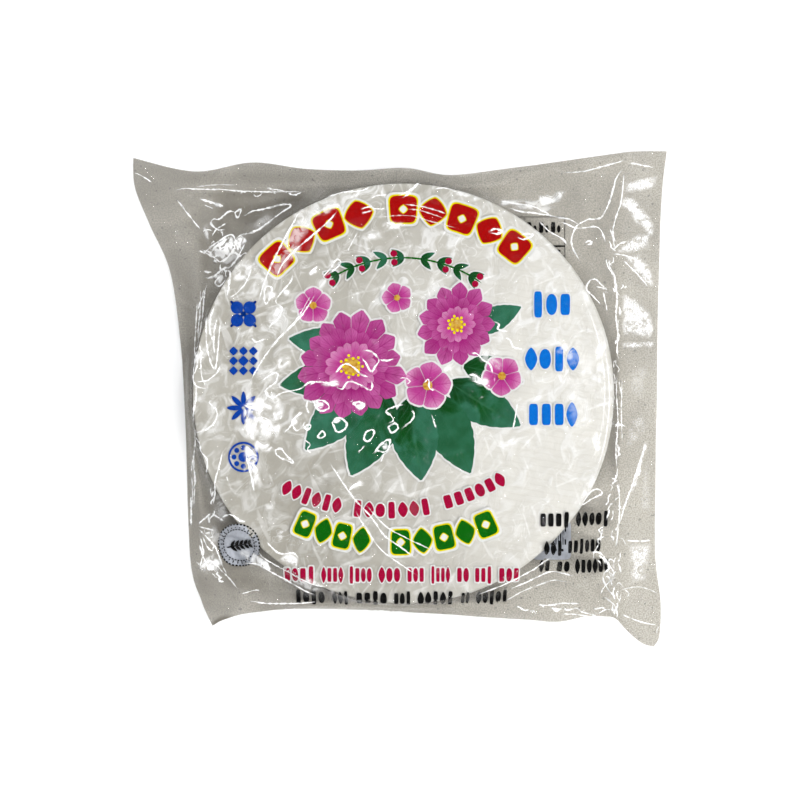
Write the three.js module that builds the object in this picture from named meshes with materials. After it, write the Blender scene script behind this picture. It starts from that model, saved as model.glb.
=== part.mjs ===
// A stack of round rice paper wrappers sealed in a clear film bag, lying flat with its printed side up.
// Millimetres, +Z up. The origin is the middle of the bag's footprint, on the surface that it lies on.
// The bag and what it holds are one closed solid: the film is taut over the stack, slopes off its edge
// in pleats towards the four corners, and ends in flat heat-sealed flaps.
import * as THREE from "three";

// ---- the stack of wrappers ----
const WRAPPER_RADIUS = 110;
const STACK_HEIGHT = 18;
const STACK_CENTRE = new THREE.Vector2(1.475, 3.025);
const FILM_LIFT = 0.5; // the film stands this far off the top wrapper
const SHOULDER = 7; // width of the flat foot's rim, where the lower film starts to rise

// ---- the bag, seen from above, from the middle of the stack ----
// Each edge runs from one corner to the next as a smooth curve through its own few points.
const BAG_EDGES = {
  top: [[-144.1, 125.8], [-111, 118.6], [-80.5, 123.4], [-52, 120], [-22.9, 119.1], [2, 120.1], [25.2, 116.6],
    [57.2, 120.2], [110.6, 127.7], [124, 129.3], [141.2, 129.4]],
  right: [[141.2, 129.4], [138.4, 103.1], [136.3, 45], [135.2, -46.4], [135.1, -86.5], [137.8, -110.5],
    [137.7, -125], [136.7, -131.6], [134.2, -135.5]],
  bottom: [[134.2, -135.5], [129.4, -134.3], [124.6, -131.2], [119, -126], [113.9, -120.6], [108.6, -119.4],
    [97.3, -119.5], [81.8, -122.1], [57.2, -120.2], [-38.9, -115.3], [-78.9, -117], [-94.9, -120.6],
    [-101.4, -124]],
  left: [[-101.4, -124], [-107.3, -110.5], [-113.6, -86.5], [-116.3, -14.4], [-119.3, 33.7], [-124.4, 65.7],
    [-135.1, 89.8], [-143.2, 110], [-144.1, 125.8]],
};
// The line where the two films are welded together, inside the flaps.
const SEAL_LINES = {
  top: [[-123.2, 106.1], [-97.6, 110.1], [-1.5, 110.1], [35.9, 109], [73.3, 118.1], [119.2, 126]],
  right: [[119.2, 126], [117.1, 103.1], [113.8, 76.4], [115.5, 51.3], [114.4, 0], [115.5, -61.4],
    [114.4, -88.1], [117.6, -105.7]],
  bottom: [[117.6, -105.7], [113.8, -114.2], [83.9, -111], [-1.5, -112.6], [-73.6, -111.6], [-89.1, -108.9]],
  left: [[-89.1, -108.9], [-101.9, -89.1], [-111.5, -20.8], [-109.4, 23], [-108, 55.1], [-112, 79.1],
    [-123.2, 106.1]],
};
const LEAST_WALL = 3.2; // film outside the stack where the seal runs closest to it
const LEAST_FLAP = 4;

// ---- heights ----
const SEAM_HIGH = 6.5; // the seal's height where it runs close to the stack
const SEAM_LOW = 2.6; // and out in the corners
const CORNER_REACH = 38; // the gap between stack and seal that counts as a corner
const RIM_HEIGHT = 1.3; // the flaps' outer edge
const FLAP_THICKNESS = 0.9;
const SEAL_GROOVE = 0.35; // the weld is pressed in by this much
const SLOPE_SAG = 1.45; // above 1 the film drops off the stack faster than a straight line

// ---- pleats, waves and the wrappers' own warp ----
const PLEATS_PER_CORNER = 5;
const PLEAT_SPACING = 0.13; // radians
const PLEAT_WIDTH = 0.045;
const PLEAT_HEIGHT = 2.1;
const PLEAT_SPREAD = 0.45; // how much one pleat's height differs from the next
const PLEAT_RUN_IN = 34; // the ridges run this far in over the stack before they die out
const EDGE_SHARE = 0.4; // and at the stack's edge have this share of their height
const FLAP_WAVES = [{ count: 5, height: 2.2, phase: 0.6 }, { count: 11, height: 1.1, phase: 2.1 }];
const WARP_WAVES = [
  { length: 58, angle: 0.4, height: 0.34, phase: 0.3 },
  { length: 37, angle: 1.9, height: 0.27, phase: 1.7 },
  { length: 26, angle: 2.8, height: 0.2, phase: 4.1 },
];

// ---- how finely the solid is cut ----
const POINTS_PER_EDGE = 40;
const STACK_RINGS = [0.18, 0.36, 0.54, 0.7, 0.82, 0.91, 0.965, 1];
const SLOPE_RINGS = [0.05, 0.14, 0.28, 0.43, 0.58, 0.73, 0.88, 1];
const FLAP_RINGS = [0.1, 0.4, 0.7, 1];
const UNDER_SLOPE_RINGS = [0, 0.25, 0.5, 0.75, 1];
const UNDER_FLAP_RINGS = [0.4, 1];
const CURVE_SAMPLES = 60; // points read from each edge when its distance from the middle is looked up

const smoothstep = THREE.MathUtils.smoothstep;
const lerp = THREE.MathUtils.lerp;

// One smooth curve through an edge's points.
function edgeCurve(points) {
  return new THREE.SplineCurve(points.map(([x, y]) => new THREE.Vector2(x, y)));
}

// The closed line's points, in order, with each corner once.
function closedLine(edges, perEdge) {
  return ["top", "right", "bottom", "left"].flatMap((side) =>
    edgeCurve(edges[side]).getPoints(perEdge).slice(0, perEdge));
}

// Distance from the middle to the closed line, in a given direction.
function reachOf(edges) {
  const line = closedLine(edges, CURVE_SAMPLES)
    .map((p) => ({ angle: p.angle(), reach: p.length() }))
    .sort((a, b) => a.angle - b.angle);
  const first = line[0];
  const last = line[line.length - 1];
  const turn = 2 * Math.PI;
  line.unshift({ angle: last.angle - turn, reach: last.reach });
  line.push({ angle: first.angle + turn, reach: first.reach });
  return (direction) => {
    const wanted = (direction + turn) % turn;
    const after = line.findIndex((p) => p.angle > wanted);
    const [a, b] = [line[after - 1], line[after]];
    return lerp(a.reach, b.reach, (wanted - a.angle) / (b.angle - a.angle));
  };
}

const bagReach = reachOf(BAG_EDGES);
const rawSealReach = reachOf(SEAL_LINES);
const sealReach = (direction) => Math.max(rawSealReach(direction), WRAPPER_RADIUS + LEAST_WALL);
const flapReach = (direction) => Math.max(bagReach(direction), sealReach(direction) + LEAST_FLAP);

// Low waves left in the wrappers by drying, which the film follows.
function warp(x, y) {
  return WARP_WAVES.reduce((sum, { length, angle, height, phase }) => {
    const along = x * Math.cos(angle) + y * Math.sin(angle);
    return sum + height * Math.sin((2 * Math.PI * along) / length + phase);
  }, 0);
}

// Ridges and valleys that fan out from each corner of the seal, by direction from the middle.
function pleats(direction) {
  const middle = (PLEATS_PER_CORNER - 1) / 2;
  let height = 0;
  for (const side of Object.keys(SEAL_LINES)) {
    const corner = new THREE.Vector2(...SEAL_LINES[side][0]).angle();
    for (let i = 0; i < PLEATS_PER_CORNER; i++) {
      const centre = corner + (i - middle) * PLEAT_SPACING;
      const away = Math.atan2(Math.sin(direction - centre), Math.cos(direction - centre));
      const way = i % 2 ? -1 : 1;
      const size = 1 + PLEAT_SPREAD * Math.sin(3.1 * i + 2 * corner);
      height += way * size * PLEAT_HEIGHT * Math.exp(-((away / PLEAT_WIDTH) ** 2));
    }
  }
  return height;
}

// How much of their height the pleats have between the stack's edge and the seal.
function pleatShare(down) {
  return lerp(EDGE_SHARE, 0, down) + (1 - EDGE_SHARE) * Math.sin(Math.PI * Math.sqrt(down));
}

function seamHeight(direction) {
  const gap = sealReach(direction) - WRAPPER_RADIUS;
  return lerp(SEAM_HIGH, SEAM_LOW, smoothstep(gap, 0, CORNER_REACH));
}

function rimHeight(direction) {
  const wave = FLAP_WAVES.reduce(
    (sum, { count, height, phase }) => sum + height * Math.sin(count * direction + phase), 0);
  return RIM_HEIGHT + Math.max(wave, 0);
}

// Height of the upper film at a point, measured from the middle of the stack.
function upperFilm(x, y) {
  const direction = Math.atan2(y, x);
  const distance = Math.hypot(x, y);
  const seal = sealReach(direction);
  const top = STACK_HEIGHT + FILM_LIFT + warp(x, y);
  const room = smoothstep(seal - WRAPPER_RADIUS, LEAST_WALL, CORNER_REACH);
  if (distance <= WRAPPER_RADIUS) {
    const runIn = smoothstep(distance, WRAPPER_RADIUS - PLEAT_RUN_IN, WRAPPER_RADIUS);
    return top + Math.max(pleats(direction), 0) * runIn * EDGE_SHARE * room;
  }
  const seam = seamHeight(direction);
  if (distance <= seal) {
    const down = (distance - WRAPPER_RADIUS) / (seal - WRAPPER_RADIUS);
    const drop = 1 - (1 - down) ** SLOPE_SAG;
    const ridge = down > 0 ? pleats(direction) : Math.max(pleats(direction), 0);
    return lerp(top, seam, drop) + ridge * pleatShare(down) * room;
  }
  const out = Math.min((distance - seal) / (flapReach(direction) - seal), 1);
  const groove = SEAL_GROOVE * Math.sin(Math.PI * Math.min(out * 4, 1));
  return lerp(seam, rimHeight(direction), smoothstep(out, 0, 1)) - groove;
}

// Height of the lower film: flat under the stack, then up to the seal.
function lowerFilm(x, y) {
  const direction = Math.atan2(y, x);
  const distance = Math.hypot(x, y);
  const foot = WRAPPER_RADIUS - SHOULDER;
  const seal = sealReach(direction);
  if (distance <= foot + 1e-6) return 0;
  if (distance >= seal) return Math.max(upperFilm(x, y) - FLAP_THICKNESS, 0.05);
  const up = (distance - foot) / (seal - foot);
  return Math.max(seamHeight(direction) - FLAP_THICKNESS, 0.05) * up ** 1.8;
}

// Rings of points round the stack: inside it, on the slope and on the flap.
function ringMaker() {
  const bag = closedLine(BAG_EDGES, POINTS_PER_EDGE);
  const seal = closedLine(SEAL_LINES, POINTS_PER_EDGE).map((p) => {
    const reach = sealReach(p.angle());
    return p.clone().setLength(reach);
  });
  const edge = seal.map((p) => p.clone().setLength(WRAPPER_RADIUS));
  const foot = seal.map((p) => p.clone().setLength(WRAPPER_RADIUS - SHOULDER));
  const between = (a, b, share) => a.map((p, i) => p.clone().lerp(b[i], share));
  return {
    stack: (share) => edge.map((p) => p.clone().multiplyScalar(share)),
    slope: (share) => between(edge, seal, share),
    flap: (share) => between(seal, bag, share),
    foot: () => foot,
  };
}

// A closed skin: upper rings from the middle out, lower rings from the rim back in.
function closedSkin(rings) {
  const around = rings[0].length;
  const positions = [];
  const faces = [];
  const middle = (height) => {
    positions.push(0, 0, height);
    return positions.length / 3 - 1;
  };
  const start = middle(upperFilm(0, 0));
  rings.forEach((ring) => ring.forEach((p) => positions.push(p.x, p.y, p.z)));
  const at = (ring, i) => 1 + ring * around + (i % around);
  const end = middle(0);
  for (let i = 0; i < around; i++) {
    faces.push(start, at(0, i + 1), at(0, i));
    for (let r = 0; r + 1 < rings.length; r++) {
      faces.push(at(r, i), at(r, i + 1), at(r + 1, i));
      faces.push(at(r, i + 1), at(r + 1, i + 1), at(r + 1, i));
    }
    faces.push(at(rings.length - 1, i), at(rings.length - 1, i + 1), end);
  }
  const geometry = new THREE.BufferGeometry();
  geometry.setAttribute("position", new THREE.Float32BufferAttribute(positions, 3));
  geometry.setIndex(faces);
  geometry.computeVertexNormals();
  return geometry;
}

function sealedPack() {
  const rings = ringMaker();
  const lift = (flat, height) => flat.map((p) => new THREE.Vector3(p.x, p.y, height(p.x, p.y)));
  const upper = [
    ...STACK_RINGS.map(rings.stack),
    ...SLOPE_RINGS.map(rings.slope),
    ...FLAP_RINGS.map(rings.flap),
  ].map((ring) => lift(ring, upperFilm));
  const lower = [
    ...UNDER_FLAP_RINGS.toReversed().map(rings.flap),
    ...UNDER_SLOPE_RINGS.toReversed().map(rings.slope),
    rings.foot(),
  ].map((ring) => lift(ring, lowerFilm));
  const film = new THREE.MeshStandardMaterial({
    color: 0xdbd8d0, roughness: 0.18, metalness: 0, transparent: true, opacity: 0.9,
  });
  const mesh = new THREE.Mesh(closedSkin([...upper, ...lower]), film);
  mesh.name = "sealed_pack";
  mesh.position.set(STACK_CENTRE.x, STACK_CENTRE.y, 0);
  return mesh;
}

const pack = new THREE.Group();
pack.add(sealedPack());

export default pack;
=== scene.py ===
import bpy
import numpy as np
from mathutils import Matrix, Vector


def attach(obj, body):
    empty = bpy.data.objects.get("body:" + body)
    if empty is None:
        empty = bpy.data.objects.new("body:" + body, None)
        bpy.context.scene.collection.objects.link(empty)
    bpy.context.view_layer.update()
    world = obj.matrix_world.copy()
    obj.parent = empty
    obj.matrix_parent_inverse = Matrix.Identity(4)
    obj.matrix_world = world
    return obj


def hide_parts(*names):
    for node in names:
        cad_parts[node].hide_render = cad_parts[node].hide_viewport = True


# A stack of round rice paper wrappers in a clear sealed film bag, printed side up.
# Shapes are worked out in millimetres from the middle of the stack and put in the scene in metres.

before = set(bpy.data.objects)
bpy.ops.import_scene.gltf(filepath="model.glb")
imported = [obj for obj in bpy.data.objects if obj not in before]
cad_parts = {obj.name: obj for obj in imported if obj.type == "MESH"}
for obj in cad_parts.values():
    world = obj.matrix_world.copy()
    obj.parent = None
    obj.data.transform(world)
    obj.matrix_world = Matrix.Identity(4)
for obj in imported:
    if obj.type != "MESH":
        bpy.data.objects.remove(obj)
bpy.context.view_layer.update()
mm = 0.001

# camera, lights and floor

view = {
    "aim": (0.00001, -0.0006),  # the point that the camera looks straight down on
    "height": 0.9185,
    "lens": 77.2,
    "sensor": 36.0,
    "floorSize": 6.0,
    "floorColor": (0.97, 0.97, 0.97),
    "air": (0.30, 0.305, 0.315),  # the room's own soft light
}

softBoxes = {  # place, size, watts, colour
    "keyLight": ((0.80, -0.50, 0.86), (0.70, 0.70), 9.0, (1.0, 0.985, 0.955)),
    "backLight": ((0.5, 1.2, 1.1), (1.0, 0.8), 5.0, (0.97, 0.985, 1.0)),
}

tubes = {  # middle, turn about the vertical in degrees, length, width, watts
    "leftTube": ((-0.42, 0.05, 1.35), 96.0, 1.3, 0.006, 4.4),
    "farTube": ((0.05, 0.52, 1.4), 4.0, 1.3, 0.006, 4.2),
    "rightTube": ((0.56, -0.1, 1.35), 78.0, 1.3, 0.006, 4.8),
    "nearTube": ((-0.1, -0.5, 1.4), -12.0, 1.1, 0.006, 3.2),
}


def aimedAt(place, target=(0.0, 0.0, 0.0)):  # the turn that points a light's -Z at the target
    return (Vector(target) - Vector(place)).to_track_quat("-Z", "Y")


def addLight(name, place, size, watts, color, turn=None):
    light = bpy.data.lights.new(name, "AREA")
    light.shape = "RECTANGLE"
    light.size, light.size_y = size
    light.energy = watts
    light.color = color
    lamp = bpy.data.objects.new(name, light)
    bpy.context.collection.objects.link(lamp)
    lamp.location = place
    if turn is None:
        lamp.rotation_euler = aimedAt(place).to_euler()
    else:
        lamp.rotation_euler = (0.0, 0.0, np.radians(turn))
    return lamp


def addCamera():
    bpy.context.scene.view_settings.view_transform = "Standard"
    lens = bpy.data.cameras.new("camera")
    lens.lens = view["lens"]
    lens.sensor_width = view["sensor"]
    lens.clip_start = 0.01
    lens.dof.use_dof = False
    camera = bpy.data.objects.new("camera", lens)
    bpy.context.collection.objects.link(camera)
    camera.location = (*view["aim"], view["height"])
    bpy.context.scene.camera = camera


def addLights():
    for name, (place, size, watts, color) in softBoxes.items():
        lamp = addLight(name, place, size, watts, color)
        lamp.visible_glossy = name != "keyLight"  # the film mirrors the tubes and the far box alone
    for name, (place, turn, length, width, watts) in tubes.items():
        addLight(name, place, (length, width), watts, (1.0, 1.0, 1.0), turn)
    world = bpy.data.worlds.new("room")
    bpy.context.scene.world = world
    world.use_nodes = True
    world.node_tree.nodes["Background"].inputs["Color"].default_value = (*view["air"], 1.0)


def addFloor():
    half = view["floorSize"] / 2
    corners = [(-half, -half, 0), (half, -half, 0), (half, half, 0), (-half, half, 0)]
    mesh = bpy.data.meshes.new("floor")
    mesh.from_pydata(corners, [], [(0, 1, 2, 3)])
    floor = bpy.data.objects.new("floor", mesh)
    bpy.context.collection.objects.link(floor)
    paint = bpy.data.materials.new("floorPaint")
    paint.use_nodes = True
    shader = paint.node_tree.nodes["Principled BSDF"]
    shader.inputs["Base Color"].default_value = (*view["floorColor"], 1.0)
    shader.inputs["Roughness"].default_value = 0.9
    shader.inputs["Specular IOR Level"].default_value = 0.1
    mesh.materials.append(paint)


addCamera()
addLights()
addFloor()
print("stage set")

# the bag seen from above

bag = {  # millimetres, from the middle of the stack
    "stackCentre": (1.475, 3.025),
    "wrapperRadius": 110.0,
    "stackHeight": 18.0,
    "filmLift": 0.9,
    "filmGap": 0.3,  # between the two films where they are welded
    "lowest": 0.15,  # the lower film's height under the stack
    "leastWall": 3.2,
    "leastFlap": 4.0,
    "seamHigh": 6.5,
    "seamLow": 2.6,
    "cornerReach": 38.0,
    "rimHeight": 1.3,
    "slopeSag": 1.45,
    "shoulder": 7.0,  # how far in from the rim the lower film starts to rise
    "shoulderCurve": 1.8,
}

bagEdges = {
    "top": [(-144.1, 125.8), (-111, 118.6), (-80.5, 123.4), (-52, 120), (-22.9, 119.1), (2, 120.1),
            (25.2, 116.6), (57.2, 120.2), (110.6, 127.7), (124, 129.3), (141.2, 129.4)],
    "right": [(141.2, 129.4), (138.4, 103.1), (136.3, 45), (135.2, -46.4), (135.1, -86.5), (137.8, -110.5),
              (137.7, -125), (136.7, -131.6), (134.2, -135.5)],
    "bottom": [(134.2, -135.5), (129.4, -134.3), (124.6, -131.2), (119, -126), (113.9, -120.6),
               (108.6, -119.4), (97.3, -119.5), (81.8, -122.1), (57.2, -120.2), (-38.9, -115.3),
               (-78.9, -117), (-94.9, -120.6), (-101.4, -124)],
    "left": [(-101.4, -124), (-107.3, -110.5), (-113.6, -86.5), (-116.3, -14.4), (-119.3, 33.7),
             (-124.4, 65.7), (-135.1, 89.8), (-143.2, 110), (-144.1, 125.8)],
}

sealLines = {
    "top": [(-123.2, 106.1), (-97.6, 110.1), (-1.5, 110.1), (35.9, 109), (73.3, 118.1), (119.2, 126)],
    "right": [(119.2, 126), (117.1, 103.1), (113.8, 76.4), (115.5, 51.3), (114.4, 0), (115.5, -61.4),
              (114.4, -88.1), (117.6, -105.7)],
    "bottom": [(117.6, -105.7), (113.8, -114.2), (83.9, -111), (-1.5, -112.6), (-73.6, -111.6),
               (-89.1, -108.9)],
    "left": [(-89.1, -108.9), (-101.9, -89.1), (-111.5, -20.8), (-109.4, 23), (-108, 55.1), (-112, 79.1),
             (-123.2, 106.1)],
}


def smoothStep(value, low, high):  # 0 below low, 1 above high, and 3t^2 - 2t^3 between them
    t = np.clip((value - low) / (high - low), 0, 1)
    return t * t * (3 - 2 * t)


def mix(a, b, share):  # a at a share of 0, b at 1
    return a + (b - a) * share


def curveThrough(points, perSpan=24):
    # each span is a cubic whose slope at a point is half the step between its two neighbours
    p = np.array(points, float)
    p = np.vstack([p[:1], p, p[-1:]])
    a, b, c, d = p[:-3, None], p[1:-2, None], p[2:-1, None], p[3:, None]
    t = np.linspace(0, 1, perSpan, endpoint=False)[None, :, None]
    line = 0.5 * (2 * b + (c - a) * t + (2 * a - 5 * b + 4 * c - d) * t**2 + (3 * b - a - 3 * c + d) * t**3)
    return np.vstack([line.reshape(-1, 2), p[-1]])


def spacedAlong(line, count):  # points at equal steps of length along a line
    run = np.concatenate([[0], np.cumsum(np.hypot(*np.diff(line, axis=0).T))])
    at = np.linspace(0, run[-1], count)
    return np.column_stack([np.interp(at, run, line[:, 0]), np.interp(at, run, line[:, 1])])


def reachOf(edges):  # distance from the middle to a closed line, as a table by direction
    sides = ("top", "right", "bottom", "left")
    line = np.vstack([spacedAlong(curveThrough(edges[side]), 240)[:-1] for side in sides])
    angle = np.arctan2(line[:, 1], line[:, 0])
    order = np.argsort(angle)
    return angle[order], np.hypot(line[:, 0], line[:, 1])[order]


bagTable = reachOf(bagEdges)
sealTable = reachOf(sealLines)


def sealReach(direction):
    reach = np.interp(direction, *sealTable, period=2 * np.pi)
    return np.maximum(reach, bag["wrapperRadius"] + bag["leastWall"])


def flapReach(direction):
    reach = np.interp(direction, *bagTable, period=2 * np.pi)
    return np.maximum(reach, sealReach(direction) + bag["leastFlap"])


def filledOutline(edges, columns, rows):
    # a sheet spread between four edges: each point is the sum of its blends between
    # the two facing pairs of edges, less its blend between the four corners
    top = spacedAlong(curveThrough(edges["top"]), columns)[None]
    bottom = spacedAlong(curveThrough(edges["bottom"]), columns)[::-1][None]
    left = spacedAlong(curveThrough(edges["left"]), rows)[:, None]
    right = spacedAlong(curveThrough(edges["right"]), rows)[::-1][:, None]
    u = np.linspace(0, 1, columns)[None, :, None]
    v = np.linspace(0, 1, rows)[:, None, None]
    corners = (1 - v) * mix(left[:1], right[:1], u) + v * mix(left[-1:], right[-1:], u)
    return mix(bottom, top, v) + mix(left, right, u) - corners


# heights of the two films and of the wrappers

warpWaves = [(58, 0.4, 0.34, 0.3), (37, 1.9, 0.27, 1.7), (26, 2.8, 0.2, 4.1)]  # length, angle, height, phase
flapWaves = [(5, 2.2, 0.6), (11, 1.1, 2.1)]  # count, height, phase

pleat = {
    "perCorner": 5,
    "spacing": 0.13,  # radians from one ridge to the next
    "width": 0.045,
    "height": 2.1,
    "spread": 0.45,  # how unlike each other the ridges are
    "runIn": 34.0,  # how far a ridge runs on over the stack
    "edgeShare": 0.4,  # how much of a ridge is left at the rim
}


def warp(x, y):  # low waves left in the wrappers by drying: a sum of sines, each along its own angle
    return sum(height * np.sin(2 * np.pi * (x * np.cos(angle) + y * np.sin(angle)) / length + phase)
               for length, angle, height, phase in warpWaves)


def pleats(direction):  # bell-shaped ridges and valleys, fanned about the direction of each corner
    height = 0.0
    for side in sealLines:
        corner = np.arctan2(sealLines[side][0][1], sealLines[side][0][0]) % (2 * np.pi)
        for i in range(pleat["perCorner"]):
            centre = corner + (i - (pleat["perCorner"] - 1) / 2) * pleat["spacing"]
            away = np.arctan2(np.sin(direction - centre), np.cos(direction - centre))
            size = (-1) ** i * (1 + pleat["spread"] * np.sin(3.1 * i + 2 * corner))
            height = height + size * pleat["height"] * np.exp(-((away / pleat["width"]) ** 2))
    return height


def seamHeight(direction):  # the weld lies lower the farther it runs from the stack
    gap = sealReach(direction) - bag["wrapperRadius"]
    return mix(bag["seamHigh"], bag["seamLow"], smoothStep(gap, 0, bag["cornerReach"]))


def rimHeight(direction):  # the flaps' outer edge: waves round the bag, cut off where they dip under 0
    return bag["rimHeight"] + np.maximum(sum(h * np.sin(n * direction + p) for n, h, p in flapWaves), 0)


def zones(x, y):  # where a point is: share of the slope from stack to seal, and of the flap beyond it
    direction, distance = np.arctan2(y, x), np.hypot(x, y)
    seal = sealReach(direction)
    slope = np.clip((distance - bag["wrapperRadius"]) / (seal - bag["wrapperRadius"]), 0, 1)
    flap = np.clip((distance - seal) / (flapReach(direction) - seal), 0, 1)
    return direction, distance, seal, slope, flap


def cornerShare(seal):  # 1 out in the pouch's corners, 0 where the weld runs close to the stack
    return smoothStep(seal - bag["wrapperRadius"], bag["leastWall"], bag["cornerReach"])


def upperFilm(x, y):
    # the film's height before its wrinkles: the stack's top, then a fall that levels out towards the weld,
    # with the pleats added as half a sine of the way there, then a smooth step to the flaps' rim
    direction, distance, seal, slope, flap = zones(x, y)
    fan = pleats(direction)
    room = cornerShare(seal)
    top = bag["stackHeight"] + bag["filmLift"] + warp(x, y)
    seam = seamHeight(direction)
    runIn = smoothStep(distance, bag["wrapperRadius"] - pleat["runIn"], bag["wrapperRadius"])
    over = top + np.maximum(fan, 0) * runIn * pleat["edgeShare"] * room
    share = mix(pleat["edgeShare"], 0, slope) + (1 - pleat["edgeShare"]) * np.sin(np.pi * np.sqrt(slope))
    down = mix(top, seam, 1 - (1 - slope) ** bag["slopeSag"]) + fan * share * room
    out = mix(seam, rimHeight(direction), smoothStep(flap, 0, 1))
    return np.where(distance <= bag["wrapperRadius"], over, np.where(flap <= 0, down, out))


def lowerFilm(x, y):  # flat under the stack, then up to the weld as a power of the way there
    direction, distance, seal, _, flap = zones(x, y)
    foot = bag["wrapperRadius"] - bag["shoulder"]
    up = np.clip((distance - foot) / (seal - foot), 0, 1)
    rise = seamHeight(direction) - bag["lowest"] - bag["filmGap"]
    underStack = bag["lowest"] + rise * up ** bag["shoulderCurve"]
    return np.where(flap > 0, upperFilm(x, y) - bag["filmGap"], underStack)


def rollingWaves(x, y, seed, shortest, longest, count=46, growth=1.0):
    # a sum of straight waves in many directions, the longer ones higher, scaled to a spread of 1
    draw = np.random.default_rng(seed)
    length = shortest * (longest / shortest) ** draw.random(count)
    angle, phase = draw.random((2, count)) * 2 * np.pi
    height = length**growth
    total = np.zeros_like(x)
    for k in range(count):
        along = x * np.cos(angle[k]) + y * np.sin(angle[k])
        total += height[k] * np.sin(2 * np.pi * along / length[k] + phase[k])
    return total / np.sqrt((height**2).sum() / 2)


def foldedPlanes(x, y, seed, spacing, count=26):
    # a crumple: many tents, each with one straight crest, laid over each other and bent by slow waves
    draw = np.random.default_rng(seed)
    bentX = x + 5 * rollingWaves(x, y, seed + 1, 25, 60, 12)
    bentY = y + 5 * rollingWaves(x, y, seed + 2, 25, 60, 12)
    total = np.zeros_like(x)
    for k in range(count):
        angle, offset = draw.random() * np.pi, draw.random()
        pitch = spacing * (0.6 + 1.6 * draw.random())
        along = (bentX * np.cos(angle) + bentY * np.sin(angle)) / pitch + offset
        total += (np.abs(np.mod(along, 1) - 0.5) - 0.25) * pitch
    return total / np.sqrt(count)


def topWrapper(x, y):  # height of the top wrapper's upper face: its warp and two sizes of low waves
    emboss = 0.10 * rollingWaves(x, y, 31, 6, 13, 50) + 0.05 * rollingWaves(x, y, 32, 3, 6, 40)
    return bag["stackHeight"] + warp(x, y) + emboss


# creases in the front film: each runs smoothly through its points; their white lines are painted highlights,
# partly stress whitening

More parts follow.
